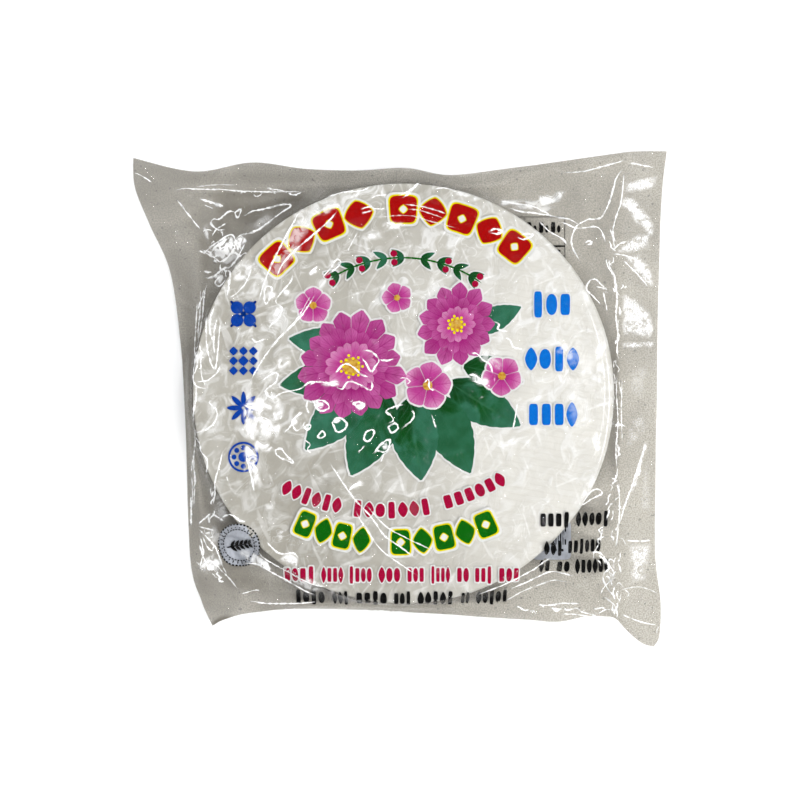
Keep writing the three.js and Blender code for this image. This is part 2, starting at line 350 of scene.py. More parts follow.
creases = [  # points, height of the ridge, strength of the line's painted highlight
    # upper left corner
    ([(-143.8, 118), (-139.5, 116.2), (-133.5, 112.3)], 0.4, 0.6),
    ([(-124.3, 106.1), (-119, 108.6), (-110.9, 109), (-99.8, 108.7), (-90, 108.1), (-76, 107.4),
      (-50, 107)], 0.3, 0.6),
    ([(-112, 110), (-100, 111.2), (-88, 111)], 0.2, 0.35),
    ([(-121, 103.8), (-117, 98.9), (-112, 92.6), (-106.7, 86.1)], 0.7, 0.75),
    ([(-108.4, 103.7), (-103.5, 102.2), (-99, 100.6), (-94.9, 99.2)], 0.5, 1.0),
    ([(-106, 100.6), (-101, 98.4)], 0.3, 0.5),
    ([(-88.4, 95.5), (-91.6, 96.8), (-94.5, 94.6), (-97.8, 92.1), (-100.5, 92.6), (-102, 90.4),
      (-100.4, 88.2), (-98.2, 86.8), (-95.7, 86.2), (-92.9, 86.8)], 0.6, 1.0),
    ([(-101, 82.7), (-98.2, 86.8), (-93.3, 90.1)], 0.5, 0.7),
    ([(-89.2, 95.9), (-85.9, 98.1), (-86.3, 95.2), (-87.6, 92.9), (-89.2, 95.9)], 0.5, 0.9),
    ([(-87.2, 92.6), (-78.1, 96.4), (-69.2, 98.7), (-61.4, 99.9), (-58.8, 98.9), (-62, 96.6), (-69.2, 91.4),
      (-75.3, 86.9), (-81, 84), (-85.8, 83.4), (-90, 78.3)], 0.8, 1.0),
    ([(-105.5, 75), (-99.8, 71.8), (-95.7, 69.7), (-88.4, 76.3), (-90, 83.6), (-97.5, 79.5), (-105.5, 75)],
      0.9, 0.9),
    ([(-101.5, 75), (-97.5, 77.8), (-93, 79.8)], 0.3, 0.8),
    ([(-99, 73.5), (-95.5, 76), (-92, 77.2)], 0.3, 0.7),
    ([(-94.5, 72.5), (-93.5, 75.5), (-90.5, 78)], 0.3, 0.8),
    ([(-84.5, 82), (-86, 78.5), (-85, 75)], 0.3, 0.7),
    ([(-105, 74), (-108.5, 76.2)], 0.3, 0.8),
    ([(-82.2, 80.4), (-84.4, 76), (-87.5, 70.5), (-91, 66.5), (-94.4, 66), (-99.8, 62), (-103.9, 61.2),
      (-105.9, 62.4)], 0.8, 1.0),
    ([(-105.9, 65.3), (-103.6, 64.2), (-101.4, 64.4)], 0.5, 0.9),
    ([(-93.3, 64.9), (-90.5, 63), (-91.4, 54.8), (-92.4, 50)], 0.6, 0.9),
    ([(-95.5, 62), (-99, 58.5), (-96, 56), (-92.5, 60)], 0.5, 0.9),
    # down the left side
    ([(-102.5, 60.3), (-105.2, 52.9), (-106.1, 40.9), (-108, 27), (-109.3, 15), (-110, 8.6), (-108.6, 4),
      (-105, 2.6), (-99.5, 2.6)], 0.5, 0.85),
    ([(-103, 44.6), (-103, 27), (-100.7, 16), (-98.4, 12.7), (-97, 22.4), (-96.1, 33.4), (-94.7, 40.9)],
      0.5, 0.8),
    ([(-98, 47.3), (-100.7, 40), (-101.2, 33.4), (-99.8, 27.9), (-98.8, 33.4), (-97, 40.9)], 0.5, 0.9),
    ([(-108.9, 6), (-102.4, 6.7), (-97, 11.3), (-95.6, 16)], 0.4, 0.7),
    ([(-109, -1), (-110, -19.4), (-106.3, -26.7), (-105.8, -30.4), (-102.5, -35.1), (-103, -41.4),
      (-104.9, -46)], 0.6, 0.9),
    ([(-110, -20.8), (-103.5, -19.4), (-98.4, -14.8), (-97.5, -9.3), (-101.6, -4.7), (-98.8, -3.8)],
      0.4, 0.8),
    ([(-109.2, 50), (-109.8, 38), (-110.6, 24), (-110.4, 14)], 0.3, 0.55),
    ([(-107.5, 56), (-107.8, 44), (-108.8, 33)], 0.3, 0.5),
    ([(-105, 24), (-106, 14), (-104.5, 6), (-101, 3.5)], 0.3, 0.55),
    ([(-110.6, -24), (-111.2, -38), (-110.8, -50), (-111.6, -62)], 0.3, 0.55),
    ([(-98.5, 33), (-99.3, 26), (-98.6, 20)], 0.3, 0.7),
    ([(-94.3, -29.6), (-96.1, -37.7), (-98.4, -46.1), (-98.8, -52.4), (-100.7, -59.8)], 0.5, 0.8),
    # over the title
    ([(-53.8, 96), (-58.3, 87.7), (-65.7, 73.9), (-72.1, 59.2), (-75.9, 46.3)], 0.7, 0.95),
    ([(-33.5, 96.5), (-38.5, 90.5), (-47, 83), (-58, 73.5), (-64, 66), (-66.5, 58.5)], 0.6, 0.9),
    ([(-40.8, 102.4), (-30.7, 105.3), (-21.5, 106.1), (-16, 109)], 0.3, 0.8),
    ([(-23.4, 85), (-29.3, 73.9)], 0.4, 0.6),
    ([(-15.2, 92), (2, 93.2), (14, 90.2), (30, 86)], 0.4, 0.35),
    ([(-43, 59.5), (-37.5, 66), (-35, 70), (-32.5, 69), (-34, 66), (-40.5, 61.5)], 0.7, 0.8),
    ([(-48.5, 63.5), (-44.5, 66.5)], 0.6, 0.7),
    ([(45, 84.5), (48.5, 86), (52.5, 84.5), (49.5, 83.5), (45.5, 84)], 0.6, 1.0),
    ([(59.5, 82), (63.5, 80.5), (68.5, 83), (64.5, 83.5), (61.5, 82.5)], 0.6, 0.95),
    ([(-9, 89.5), (-5, 88.5), (-2, 87.5)], 0.5, 0.9),
    ([(-17, 97), (-12.5, 96.5), (-9, 97)], 0.4, 0.6),
    ([(-17, 102), (-13.5, 103.5), (-8, 104)], 0.4, 0.7),
    ([(-79, 66), (-82.5, 57.5), (-87.5, 52), (-92, 49.5)], 0.7, 0.6),
    ([(-72.5, 54), (-71.5, 56), (-68.5, 55), (-69.5, 50), (-71.5, 46.5), (-72.5, 48.5), (-72.5, 54)],
      0.8, 0.9),
    # left of the flowers
    ([(-57.9, 64.7), (-58.3, 59.2), (-62.9, 53.6), (-66.6, 48.1), (-63.4, 44.5), (-64.8, 39.8),
      (-69.4, 35.2), (-71.3, 30.7)], 0.7, 0.85),
    ([(-79.5, 29.7), (-77.2, 26.9), (-72.1, 28.4)], 0.6, 0.85),
    ([(-45, 53.2), (-53.8, 39.8), (-64.8, 28.8), (-72.1, 19.6), (-77.7, 10.4), (-81.4, 3.9)], 0.6, 0.9),
    ([(-47.5, 52.5), (-55.5, 39), (-66, 27.5), (-73.5, 18)], 0.4, 0.7),
    ([(-76.8, 3.9), (-69.4, 9.5), (-65.7, 10.4), (-66.6, 5.8), (-72.1, 1.2), (-68.5, -2.5), (-62.9, 0.3),
      (-53.8, 2.2), (-48.2, 5.8), (-37.2, 4.8)], 0.7, 0.8),
    ([(-82.3, -31.4), (-80, -41.4), (-77.7, -52.4)], 0.9, 0.9),
    # small loops over the leaves and blossoms
    ([(-36, 9.5), (-31, 15), (-26.5, 14), (-22, 10), (-17, 8)], 0.8, 0.9),
    ([(-35.5, 4), (-32, 2), (-28.5, 6), (-22.5, 4.5), (-17, 1.5), (-16, 4.5), (-17, 7.5)], 0.8, 0.9),
    ([(-22, 22), (-17, 22), (-12.5, 17.5), (-14.5, 14), (-16.5, 11), (-19, 15), (-22, 19.5)], 0.7, 0.9),
    ([(-12.5, 17.5), (-8, 17), (-5, 18)], 0.6, 0.8),
    ([(-49, 4), (-45.5, 6), (-40.5, 5.5), (-36, 4.5)], 0.8, 0.9),
    ([(-47, -4), (-41.5, -4), (-38.5, -7.5), (-42.5, -9.5), (-45.5, -7.5), (-47, -4)], 0.8, 0.95),
    ([(-49.5, -3.5), (-50.5, -7), (-49, -11)], 0.8, 0.95),
    ([(-50.5, -14), (-53.5, -18.5), (-56, -19.5), (-58, -15), (-54, -11), (-51.5, -9.5)], 0.8, 0.9),
    ([(-51.5, -18), (-49.5, -16.5), (-48, -17.5), (-50, -19.3), (-51.5, -18)], 0.6, 0.9),
    ([(-37, -15.5), (-34, -12.8), (-29.5, -15.5), (-30.5, -19), (-34.5, -20.2), (-37, -15.5)], 0.7, 0.95),
    ([(-26, -5.5), (-22.5, -8), (-20, -6.5), (-23, -4.5), (-26, -5.5)], 0.7, 1.0),
    ([(-44.6, -22.8), (-42.3, -19.8), (-40.6, -22), (-43, -23.6), (-44.6, -22.8)], 0.6, 0.9),
    ([(-20.3, -24.2), (-19.2, -20.5), (-15.5, -19.2), (-15.2, -21.8), (-18, -25.3), (-20.3, -24.2)],
      0.7, 0.95),
    ([(-23, -31), (-20, -27.5)], 0.5, 0.8),
    ([(-14.2, -30), (-11, -26.5), (-7, -24), (-7.5, -29), (-10, -31), (-14.2, -30)], 0.8, 1.0),
    ([(-9.5, -31), (-11.5, -36)], 0.7, 0.9),
    ([(1, -6), (-4, -7), (-9, -9.5), (-6, -12), (-5, -14.5), (-8.5, -16)], 0.8, 0.9),
    ([(-7.5, -17.5), (-4, -15.8), (-2.5, -18.5), (-6, -20.8), (-7.5, -17.5)], 0.8, 0.9),
    ([(4.5, -8.5), (6, -11.5), (4, -15), (-0.5, -18.5)], 0.8, 0.9),
    ([(-52, -24), (-48.5, -27), (-50, -29.5), (-47.5, -32)], 0.6, 0.8),
    ([(-67, -30), (-64, -29), (-61.5, -32), (-57, -36.5), (-60.5, -35.5), (-65.5, -33), (-67, -30)],
      0.8, 0.9),
    ([(-63, -21.5), (-59, -17.5), (-56, -12.5), (-53, -9)], 0.7, 0.8),
    ([(-28.5, -51.5), (-26, -48.5), (-25, -47.5), (-21, -48.5)], 0.7, 0.7),
    ([(-2, 7.5), (1, 8), (4, 6), (1.5, 4.5)], 0.7, 0.8),
    ([(11, 5), (13.5, 7.5), (14, 2.5), (17, 1.5)], 0.7, 0.85),
    ([(33, 9), (37.5, 9.5), (42, 6), (45, 4.5), (40.5, 5.5), (35.5, 6.5)], 0.8, 0.9),
    ([(35, 21), (39, 20.5), (42, 17.5), (45.5, 15), (47.5, 9.5)], 0.8, 0.85),
    ([(47, 38), (50.5, 36), (49.5, 33.5), (53.5, 32.5), (56, 32.5)], 0.7, 0.85),
    ([(52.5, 29), (56, 28), (58, 24), (63.5, 23)], 0.6, 0.7),
    ([(15, -11), (16, -14), (17.5, -18.5)], 0.5, 0.6),
    ([(60, -4.5), (59, -12), (57.5, -19.5)], 0.6, 0.7),
    # along the stack's right rim, and short ones over the title
    ([(92, 54), (99.5, 38.5), (104.2, 20), (106, 2), (104, -20), (98.5, -38)], 0.3, 0.4),
    ([(105.5, 27), (108, 8), (108.2, -8), (105.8, -26), (101, -42)], 0.3, 0.55),
    ([(0.5, 99), (6, 98.5), (12, 97.5), (20, 95), (24, 93.5)], 0.2, 0.5),
    ([(2, 96.5), (8, 96), (15, 94), (22, 91.5)], 0.2, 0.45),
    ([(-22, 96.5), (-18.5, 97.5), (-15.5, 98)], 0.2, 0.6),
    ([(-21.5, 94.5), (-18.5, 95), (-16, 95.5)], 0.2, 0.6),
    ([(15, 106.5), (22, 107.5), (31, 104.5), (36, 104)], 0.3, 0.6),
    ([(-3, 103), (3, 106), (8, 110), (3, 104.5), (-1, 102)], 0.4, 0.7),
    # lower left corner
    ([(-101.6, -63.6), (-109, -69.6)], 0.6, 0.8),
    ([(-101.6, -63.6), (-94.3, -67.3)], 0.5, 0.7),
    ([(-109.4, -71.9), (-101.6, -79.2), (-98, -86.6), (-93.3, -97.6)], 0.9, 0.95),
    ([(-109, -72.8), (-106.3, -84), (-108, -93.1), (-102.5, -89.4), (-94.3, -96.8), (-86, -106)], 0.7, 0.8),
    ([(-109, -71), (-99.8, -72.8)], 0.4, 0.7),
    ([(-86.9, -90.2), (-75.9, -90.2), (-66.6, -95.9), (-58.3, -100.5), (-50, -105.1), (-44.5, -107.4)],
      0.8, 0.95),
    ([(-78, -81), (-72.1, -87), (-62, -93), (-48, -100), (-38, -102)], 0.6, 0.6),
    ([(-72.1, -77), (-64.8, -83.9), (-57.4, -83.9), (-54.2, -87.6)], 0.6, 0.75),
    ([(-95.2, -65.5), (-90.5, -63.6), (-85, -66.4)], 0.4, 0.8),
    ([(-88, -65.2), (-85.4, -66.8), (-82.5, -67.4)], 0.4, 0.9),
    ([(-86.5, -106.8), (-82, -105.6), (-78.5, -104.4), (-75, -104.6)], 0.4, 0.55),
    ([(-108.6, -80), (-106, -88), (-103.8, -92.4), (-99.5, -95)], 0.4, 0.8),
    ([(-106.8, -76), (-103.4, -82.8), (-100.4, -84.2)], 0.4, 0.7),
    ([(-113, -43), (-112, -50.5), (-112.5, -59), (-114, -68.5)], 0.4, 0.5),
    ([(-92.5, -43), (-90.5, -49.5), (-91.5, -46)], 0.5, 0.6),
    ([(-83, -110.5), (-72.5, -112), (-61.5, -112), (-51, -111.5), (-44.5, -110.5)], 0.5, 0.7),
    ([(-63, -114.5), (-60, -117), (-57.5, -114.5)], 0.6, 0.9),
    ([(-32.5, -115.6), (-22, -116), (-9, -116.5), (5.5, -117.4), (15, -118.4)], 0.3, 0.7),
    # long diagonal lines at the bottom
    ([(-40.8, -33.2), (-36.2, -39.7), (-26.1, -54.5), (-16.9, -64.5), (-9.6, -74.7), (-1.4, -80.5),
      (10.5, -89.4)], 0.6, 0.7),
    ([(-25.2, -60.8), (-20.6, -69.1), (-11.4, -82), (-1.5, -89.4), (8, -96)], 0.5, 0.65),
    ([(-19.6, -58), (-9.6, -69.2), (2, -76), (16.9, -82.9)], 0.4, 0.55),
    # lower right corner
    ([(38, -107), (53.8, -100.5), (68.5, -93.1), (77.8, -86.7), (79.6, -83.9)], 0.9, 0.9),
    ([(55.7, -104.2), (68.5, -98.6), (79.6, -95), (92, -97)], 0.6, 0.75),
    ([(93.4, -59), (98, -52.5), (101.7, -50.3), (105.4, -53), (98, -56.3), (91.6, -60.8)], 0.8, 0.85),
    ([(112, -92), (107, -97.5), (109, -104), (114, -109)], 0.6, 0.8),
    ([(104, -86), (109, -90), (113, -96)], 0.5, 0.8),
    ([(105.5, -107.5), (107.5, -103), (113.5, -97.5)], 0.5, 0.7),
    ([(107, -108.5), (112.5, -112.5), (114.5, -118), (114, -121)], 0.5, 0.8),
    ([(99.5, -84.5), (105, -85), (108.5, -89), (110.5, -95.5)], 0.5, 0.75),
    ([(119, -78.5), (126.5, -79), (133, -78.5)], 0.4, 0.8),
    ([(53.5, -111.5), (65.5, -104), (78.5, -100), (89, -100)], 0.5, 0.5),
    ([(71, -113), (78.5, -113), (86, -112), (95.5, -112.5)], 0.4, 0.7),
    ([(82.5, -118), (92, -118), (101, -119.5), (113, -120.5)], 0.4, 0.6),
    ([(114, 12), (113.4, 0), (114.4, -15), (113.2, -30), (114.2, -42)], 0.5, 0.65),
    ([(116.6, 8), (116.2, -10), (116.8, -28)], 0.4, 0.5),
    ([(114.8, -46), (115.4, -60), (114.6, -75), (113.2, -85)], 0.5, 0.6),
    # upper right corner
    ([(119.5, 124.5), (112, 122.3), (98, 118.4), (85, 117.6)], 0.4, 0.7),
    ([(120.5, 123), (134.8, 120.5)], 0.3, 0.7),
    ([(118.6, 121), (113.8, 114.5), (111.2, 105.3), (107.5, 96), (103.5, 92.3), (98, 91.9), (92.4, 88.7),
      (89.7, 84), (89.2, 78.5), (91.6, 72.1), (94.8, 66.6)], 0.8, 0.85),
    ([(118.3, 119), (116.5, 103), (113.6, 93.3), (112, 86), (112.6, 77.8), (110.7, 73.9)], 0.5, 0.75),
    ([(109.4, 69.3), (113.4, 59.2), (113.9, 50), (113.4, 40.9), (114.3, 31.5), (113.9, 22.4), (115.5, 16)],
      0.5, 0.85),
    ([(71.3, 91.4), (76.7, 84.9), (84.1, 81.2), (87, 77.5)], 0.6, 0.8),
    ([(81.4, 90.9), (90.6, 87.3), (103.5, 87.7), (108.1, 78.5)], 0.6, 0.75),
    ([(100, 61), (96, 55), (101, 50), (105, 46)], 0.5, 0.7),
    ([(50, 101.6), (62, 99.5), (74, 96.5), (80, 92.5)], 0.5, 0.7),
    ([(54, 98), (63.5, 95), (75.5, 94.5), (82.5, 92.5), (91, 90), (95.5, 87.5)], 0.5, 0.7),
    ([(96.5, 79.5), (98.5, 81), (101, 80.5), (100.5, 79.5), (97.5, 79)], 0.5, 0.9),
    ([(98.5, 59.5), (102, 60), (105, 57.5), (108, 55), (104, 56), (101, 56)], 0.5, 0.8),
    ([(108, 72.5), (109, 67), (112.5, 61.5), (113.5, 55), (116, 51)], 0.6, 0.85),
    ([(111.5, 75.5), (115.5, 79.5), (120, 81)], 0.5, 0.7),
    ([(106, 54), (107, 48.5), (108, 43)], 0.5, 0.6),
    ([(110.5, 74.5), (118, 73.5), (125.5, 70), (133, 58)], 0.5, 0.6),
    # right flap
    ([(117.3, 71.2), (124.5, 64), (131.1, 56.4)], 0.5, 0.8),
    ([(129.8, -26.3), (126.6, -36), (121.9, -49.8), (118.2, -60), (115.1, -70.1)], 0.6, 1.0),
    ([(115.2, -105.8), (118.5, -104.4), (124, -103.4), (130, -104.2), (137.3, -107.6)], 0.8, 0.4),
    ([(116, -117.6), (122, -120.2), (129, -122.6), (136.6, -123.9)], 0.6, 0.55),
    ([(137, -124.5), (135.6, -126.5), (135.8, -128.5)], 0.4, 0.4),
]

seamKnots = {  # short bent creases strewn along a line: its ends, how many, half the breadth strewn over
    "right": ((112.5, 22), (115.0, -118), 30, 2.6),
    "rightFoot": ((108, -86), (116, -110), 9, 4.0),
    "upperRight": ((112, 88), (114.5, 26), 12, 2.2),
    "top": ((-88, 107.6), (-58, 107.2), 5, 0.8),
    "left": ((-106, 60), (-113.5, -70), 9, 1.6),
    "foot": ((60, -113), (112, -118), 10, 2.4),
    "shell": ((-104, 86), (-84, 72), 8, 4.0),
    "nearLeft": ((-108, -88), (-95, -100), 5, 3.0),
    "leftTrough": ((-99, -48), (-103, -82), 8, 2.6),
    "upLeft": ((-101, 74), (-91, 60), 7, 3.0),
    "nearRight": ((104, -92), (110.5, -46), 10, 2.4),
}
knotSeed = 9


def strewnKnots():
    # each is a run of four random steps set about a random place on its line, with a lean along the line
    draw = np.random.default_rng(knotSeed)
    knots = []
    for start, end, count, breadth in seamKnots.values():
        for share in (np.arange(count) + draw.random(count)) / count:
            middle = mix(np.array(start), np.array(end), share) + draw.normal(0, 0.5, 2) * breadth
            steps = draw.normal(0, 1.1, (4, 2)) + 0.35 * (np.array(end) - start) / count
            points = middle + np.cumsum(steps, 0) - steps.sum(0) / 2
            knots.append((points.tolist(), 0.25, 0.45 + 0.5 * draw.random()))
    return knots


creases += strewnKnots()

creaseLook = {
    "window": 2.4,  # how far from its line a crease is stored
    "fullWindow": 1.32,  # within this distance at its full strength
    "margin": 4.9,  # how far round a line its points are looked for
    "layers": 4,
    "ridgeWidth": 1.3,
    "taper": 0.16,  # share of the length over which an end fades
    "perSpan": 12,  # points of the curve between two of those given
    "step": 0.9,  # length of the straight bits that a curve is measured by
}


def nearLine(x, y, line, margin):
    # for each point near the line: its distance, positive on the line's left, and its place along, 0 to 1
    near = np.flatnonzero((x > line[:, 0].min() - margin) & (x < line[:, 0].max() + margin)
                          & (y > line[:, 1].min() - margin) & (y < line[:, 1].max() + margin))
    a, step = line[:-1], np.diff(line, axis=0)
    px, py = x[near][:, None] - a[:, 0], y[near][:, None] - a[:, 1]
    t = np.clip((px * step[:, 0] + py * step[:, 1]) / (step**2).sum(1), 0, 1)
    awayX, awayY = px - t * step[:, 0], py - t * step[:, 1]
    distance = np.hypot(awayX, awayY)
    closest = distance.argmin(1)
    rows = np.arange(len(near))
    left = step[closest, 0] * py[rows, closest] - step[closest, 1] * px[rows, closest]
    signed = distance[rows, closest] * np.where(left < 0, -1, 1)
    return near, signed, (closest + t[rows, closest]) / len(a)


def layCreases(x, y):
    # a line is finer than the mesh, so each point holds its distance to the line and the line's strength
    # there; lines that cross go in different layers, and a bell over the distance gives the ridge
    count, taper = creaseLook["layers"], creaseLook["taper"]
    side, strength, ridge = np.zeros((count, x.size)), np.zeros((count, x.size)), np.zeros(x.size)
    for points, rise, white in creases:
        curve = curveThrough(points, creaseLook["perSpan"])
        length = np.hypot(*np.diff(curve, axis=0).T).sum()
        line = spacedAlong(curve, max(int(length / creaseLook["step"]), 4))
        near, signed, along = nearLine(x, y, line, creaseLook["margin"])
        ends = smoothStep(along, 0, taper) * smoothStep(1 - along, 0, taper)
        ends = np.ones_like(along) if points[0] == points[-1] else ends  # a loop does not fade
        bell = np.exp(-((signed / creaseLook["ridgeWidth"]) ** 2)) * ends * rise
        ridge[near] = np.maximum(ridge[near], bell)
        nearness = smoothStep(-np.abs(signed), -creaseLook["window"], -creaseLook["fullWindow"])
        here = white * ends * nearness
        layer = np.argmin([(strength[k, near] * here).sum() for k in range(count)])
        better = here > strength[layer, near]
        side[layer, near[better]] = signed[better]
        strength[layer, near[better]] = here[better]
    return side, strength, ridge


# meshes

def meshFrom(name, points, faceGroups):  # points in millimetres from the middle of the stack
    mesh = bpy.data.meshes.new(name)
    placed = (points + np.array([*bag["stackCentre"], 0.0])) * mm
    mesh.vertices.add(len(placed))
    mesh.vertices.foreach_set("co", placed.astype(np.float32).ravel())
    corners = np.concatenate([faces.ravel() for faces in faceGroups])
    sizes = np.concatenate([np.full(len(faces), faces.shape[1]) for faces in faceGroups])
    mesh.loops.add(len(corners))
    mesh.loops.foreach_set("vertex_index", corners.astype(np.int32))
    mesh.polygons.add(len(sizes))
    mesh.polygons.foreach_set("loop_start", np.concatenate([[0], np.cumsum(sizes)[:-1]]).astype(np.int32))
    mesh.polygons.foreach_set("use_smooth", np.ones(len(sizes), bool))
    mesh.update(calc_edges=True)
    piece = bpy.data.objects.new(name, mesh)
    bpy.context.collection.objects.link(piece)
    return piece


def gridFaces(rows, columns, around=False):  # four-sided faces between neighbouring rows and columns
    index = np.arange(rows * columns).reshape(rows, columns)
    if around:
        index = np.hstack([index, index[:, :1]])
    return np.stack([index[:-1, :-1], index[:-1, 1:], index[1:, 1:], index[1:, :-1]], -1).reshape(-1, 4)


def storeValue(piece, name, values):  # one value, or three, at each point of the mesh
    kind = "FLOAT_VECTOR" if values.ndim == 2 else "FLOAT"
    layer = piece.data.attributes.new(name, kind, "POINT")
    layer.data.foreach_set("vector" if values.ndim == 2 else "value", values.astype(np.float32).ravel())


# shader helpers

def newMaterial(name):
    material = bpy.data.materials.new(name)
    material.use_nodes = True
    nodes = material.node_tree.nodes
    return material, nodes["Principled BSDF"], nodes["Material Output"]


def put(tree, kind, inputs=None, **settings):  # one node, each of its inputs a value or a link
    node = tree.nodes.new(kind)
    for key, value in settings.items():
        setattr(node, key, value)
    for key, value in (inputs or {}).items():
        if isinstance(value, bpy.types.NodeSocket):
            tree.links.new(value, node.inputs[key])
        else:
            node.inputs[key].default_value = value
    return node


def calc(tree, operation, first, second=0.0, third=0.0, clamp=False):
    node = put(tree, "ShaderNodeMath", {0: first, 1: second, 2: third}, operation=operation, use_clamp=clamp)
    return node.outputs[0]


def ramp(tree, value, fromLow, fromHigh, toLow=0.0, toHigh=1.0):  # a smooth step from one value to another
    inputs = {"Value": value, "From Min": fromLow, "From Max": fromHigh, "To Min": toLow, "To Max": toHigh}
    return put(tree, "ShaderNodeMapRange", inputs, interpolation_type="SMOOTHSTEP").outputs[0]


def mixColor(tree, factor, first, second, blend="MIX"):
    node = put(tree, "ShaderNodeMix", {"Factor": factor}, data_type="RGBA", blend_type=blend)
    for key, value in ((6, first), (7, second)):
        if isinstance(value, bpy.types.NodeSocket):
            tree.links.new(value, node.inputs[key])
        else:
            node.inputs[key].default_value = (*value, 1.0)
    return node.outputs[2]


def noise(tree, place, scale, detail=2.0, distortion=0.0, roughness=0.5):
    inputs = {"Vector": place, "Scale": scale, "Detail": detail, "Distortion": distortion,
              "Roughness": roughness}
    return put(tree, "ShaderNodeTexNoise", inputs, noise_dimensions="2D").outputs[0]


def stored(tree, name):  # a value that the mesh holds at each of its points
    return put(tree, "ShaderNodeAttribute", attribute_name=name).outputs["Fac"]


def objectPlace(tree):
    return put(tree, "ShaderNodeTexCoord").outputs["Object"]


def bumpFrom(tree, height, strength=1.0):  # heights are in metres
    return put(tree, "ShaderNodeBump", {"Height": height, "Strength": strength, "Distance": 1.0}).outputs[0]


def newGroup(name, inputs, outputs):
    group = bpy.data.node_groups.new(name, "ShaderNodeTree")
    for label, value in inputs.items():
        socket = group.interface.new_socket(label, in_out="INPUT", socket_type="NodeSocketFloat")
        socket.default_value = value
    for label, kind in outputs.items():
        group.interface.new_socket(label, in_out="OUTPUT", socket_type=kind)
    return group, group.nodes.new("NodeGroupInput"), group.nodes.new("NodeGroupOutput")


def makeCreaseGroup():
    # a line is 1 less its distance over its width, wider where its strength is higher, and uneven by noise;
    # a ridge is a tent over the same distance, and the layers are joined by taking the strongest
    group, given, out = newGroup("creaseLines", {"Width": 0.3, "Break Scale": 260.0},
                                 {"Line": "NodeSocketFloat", "Ridge": "NodeSocketFloat"})
    place = objectPlace(group)
    broken = ramp(group, noise(group, place, given.outputs["Break Scale"], 1.0), 0.26, 0.46, 0.40, 1.0)
    swell = ramp(group, noise(group, place, 330.0, 1.0, 0.4), 0.34, 0.66, 0.55, 1.35)
    wander = calc(group, "MULTIPLY_ADD", noise(group, place, 900.0, 2.0), 0.5, -0.25)
    line, ridge = None, None
    for k in range(creaseLook["layers"]):
        layer = put(group, "ShaderNodeAttribute", attribute_name=f"crease{k}")
        parts = put(group, "ShaderNodeSeparateXYZ", {0: layer.outputs["Vector"]})
        signed, strength = parts.outputs[:2]
        away = calc(group, "ABSOLUTE", signed)
        jagged = calc(group, "ABSOLUTE", calc(group, "ADD", signed, wander))
        width = calc(group, "MULTIPLY", given.outputs["Width"], calc(group, "ADD", strength, 0.25))
        width = calc(group, "MULTIPLY", width, swell)
        sharp = calc(group, "SUBTRACT", 1.0, calc(group, "DIVIDE", jagged, width), clamp=True)
        bold = calc(group, "MULTIPLY", strength, 1.5, clamp=True)
        one = calc(group, "MULTIPLY", calc(group, "MULTIPLY", sharp, 2.2, clamp=True), bold)
        tent = calc(group, "SUBTRACT", 1.0, calc(group, "DIVIDE", away, 1.6), clamp=True)
        tent = calc(group, "MULTIPLY", tent, strength)
        line = one if line is None else calc(group, "MAXIMUM", line, one)
        ridge = tent if ridge is None else calc(group, "MAXIMUM", ridge, tent)
    group.links.new(calc(group, "MULTIPLY", line, broken), out.inputs["Line"])
    group.links.new(ridge, out.inputs["Ridge"])
    return group


def makeCrinkleGroup():
    # fine crinkles: the distance to the walls between random cells, bent by noise, in two sizes
    group, given, out = newGroup("fineCrinkles", {"Scale": 130.0}, {"Height": "NodeSocketFloat"})
    place = objectPlace(group)
    bend = put(group, "ShaderNodeTexNoise", {"Vector": place, "Scale": 45.0, "Detail": 1.0},
               noise_dimensions="2D")
    shift = put(group, "ShaderNodeVectorMath", {0: bend.outputs["Color"], 1: (0.012, 0.012, 0.012)},
                operation="MULTIPLY")
    bent = put(group, "ShaderNodeVectorMath", {0: place, 1: shift.outputs[0]}, operation="ADD").outputs[0]
    total = None
    for factor, weight in ((1.0, 1.0), (2.3, 0.4)):
        scale = calc(group, "MULTIPLY", given.outputs["Scale"], factor)
        cells = put(group, "ShaderNodeTexVoronoi", {"Vector": bent, "Scale": scale},
                    feature="DISTANCE_TO_EDGE", voronoi_dimensions="2D")
        wall = calc(group, "MULTIPLY", ramp(group, cells.outputs["Distance"], 0.0, 0.35), weight)
        total = wall if total is None else calc(group, "ADD", total, wall)
    group.links.new(total, out.inputs["Height"])
    return group


creaseGroup = makeCreaseGroup()
crinkleGroup = makeCrinkleGroup()


def useGroup(tree, group, **values):
    node = tree.nodes.new("ShaderNodeGroup")
    node.node_tree = group
    for key, value in values.items():
        node.inputs[key].default_value = value
    return node


def facingGloss(tree, normal, straight, grazing):
    # share of light mirrored: little where seen straight on, most at a glance, the same from both sides
    facing = put(tree, "ShaderNodeLayerWeight", {"Blend": 0.5, "Normal": normal}).outputs["Facing"]
    return calc(tree, "MULTIPLY_ADD", calc(tree, "POWER", facing, 4.0), grazing, straight)


def plainForSpread(tree, full, plain):
    # rays that carry only light and shade meet a plain film, the ones that show it meet the full one
    ray = put(tree, "ShaderNodeLightPath")
    spread = calc(tree, "MAXIMUM", ray.outputs["Is Shadow Ray"], ray.outputs["Is Diffuse Ray"])
    return put(tree, "ShaderNodeMixShader", {0: spread, 1: full, 2: plain}).outputs[0]


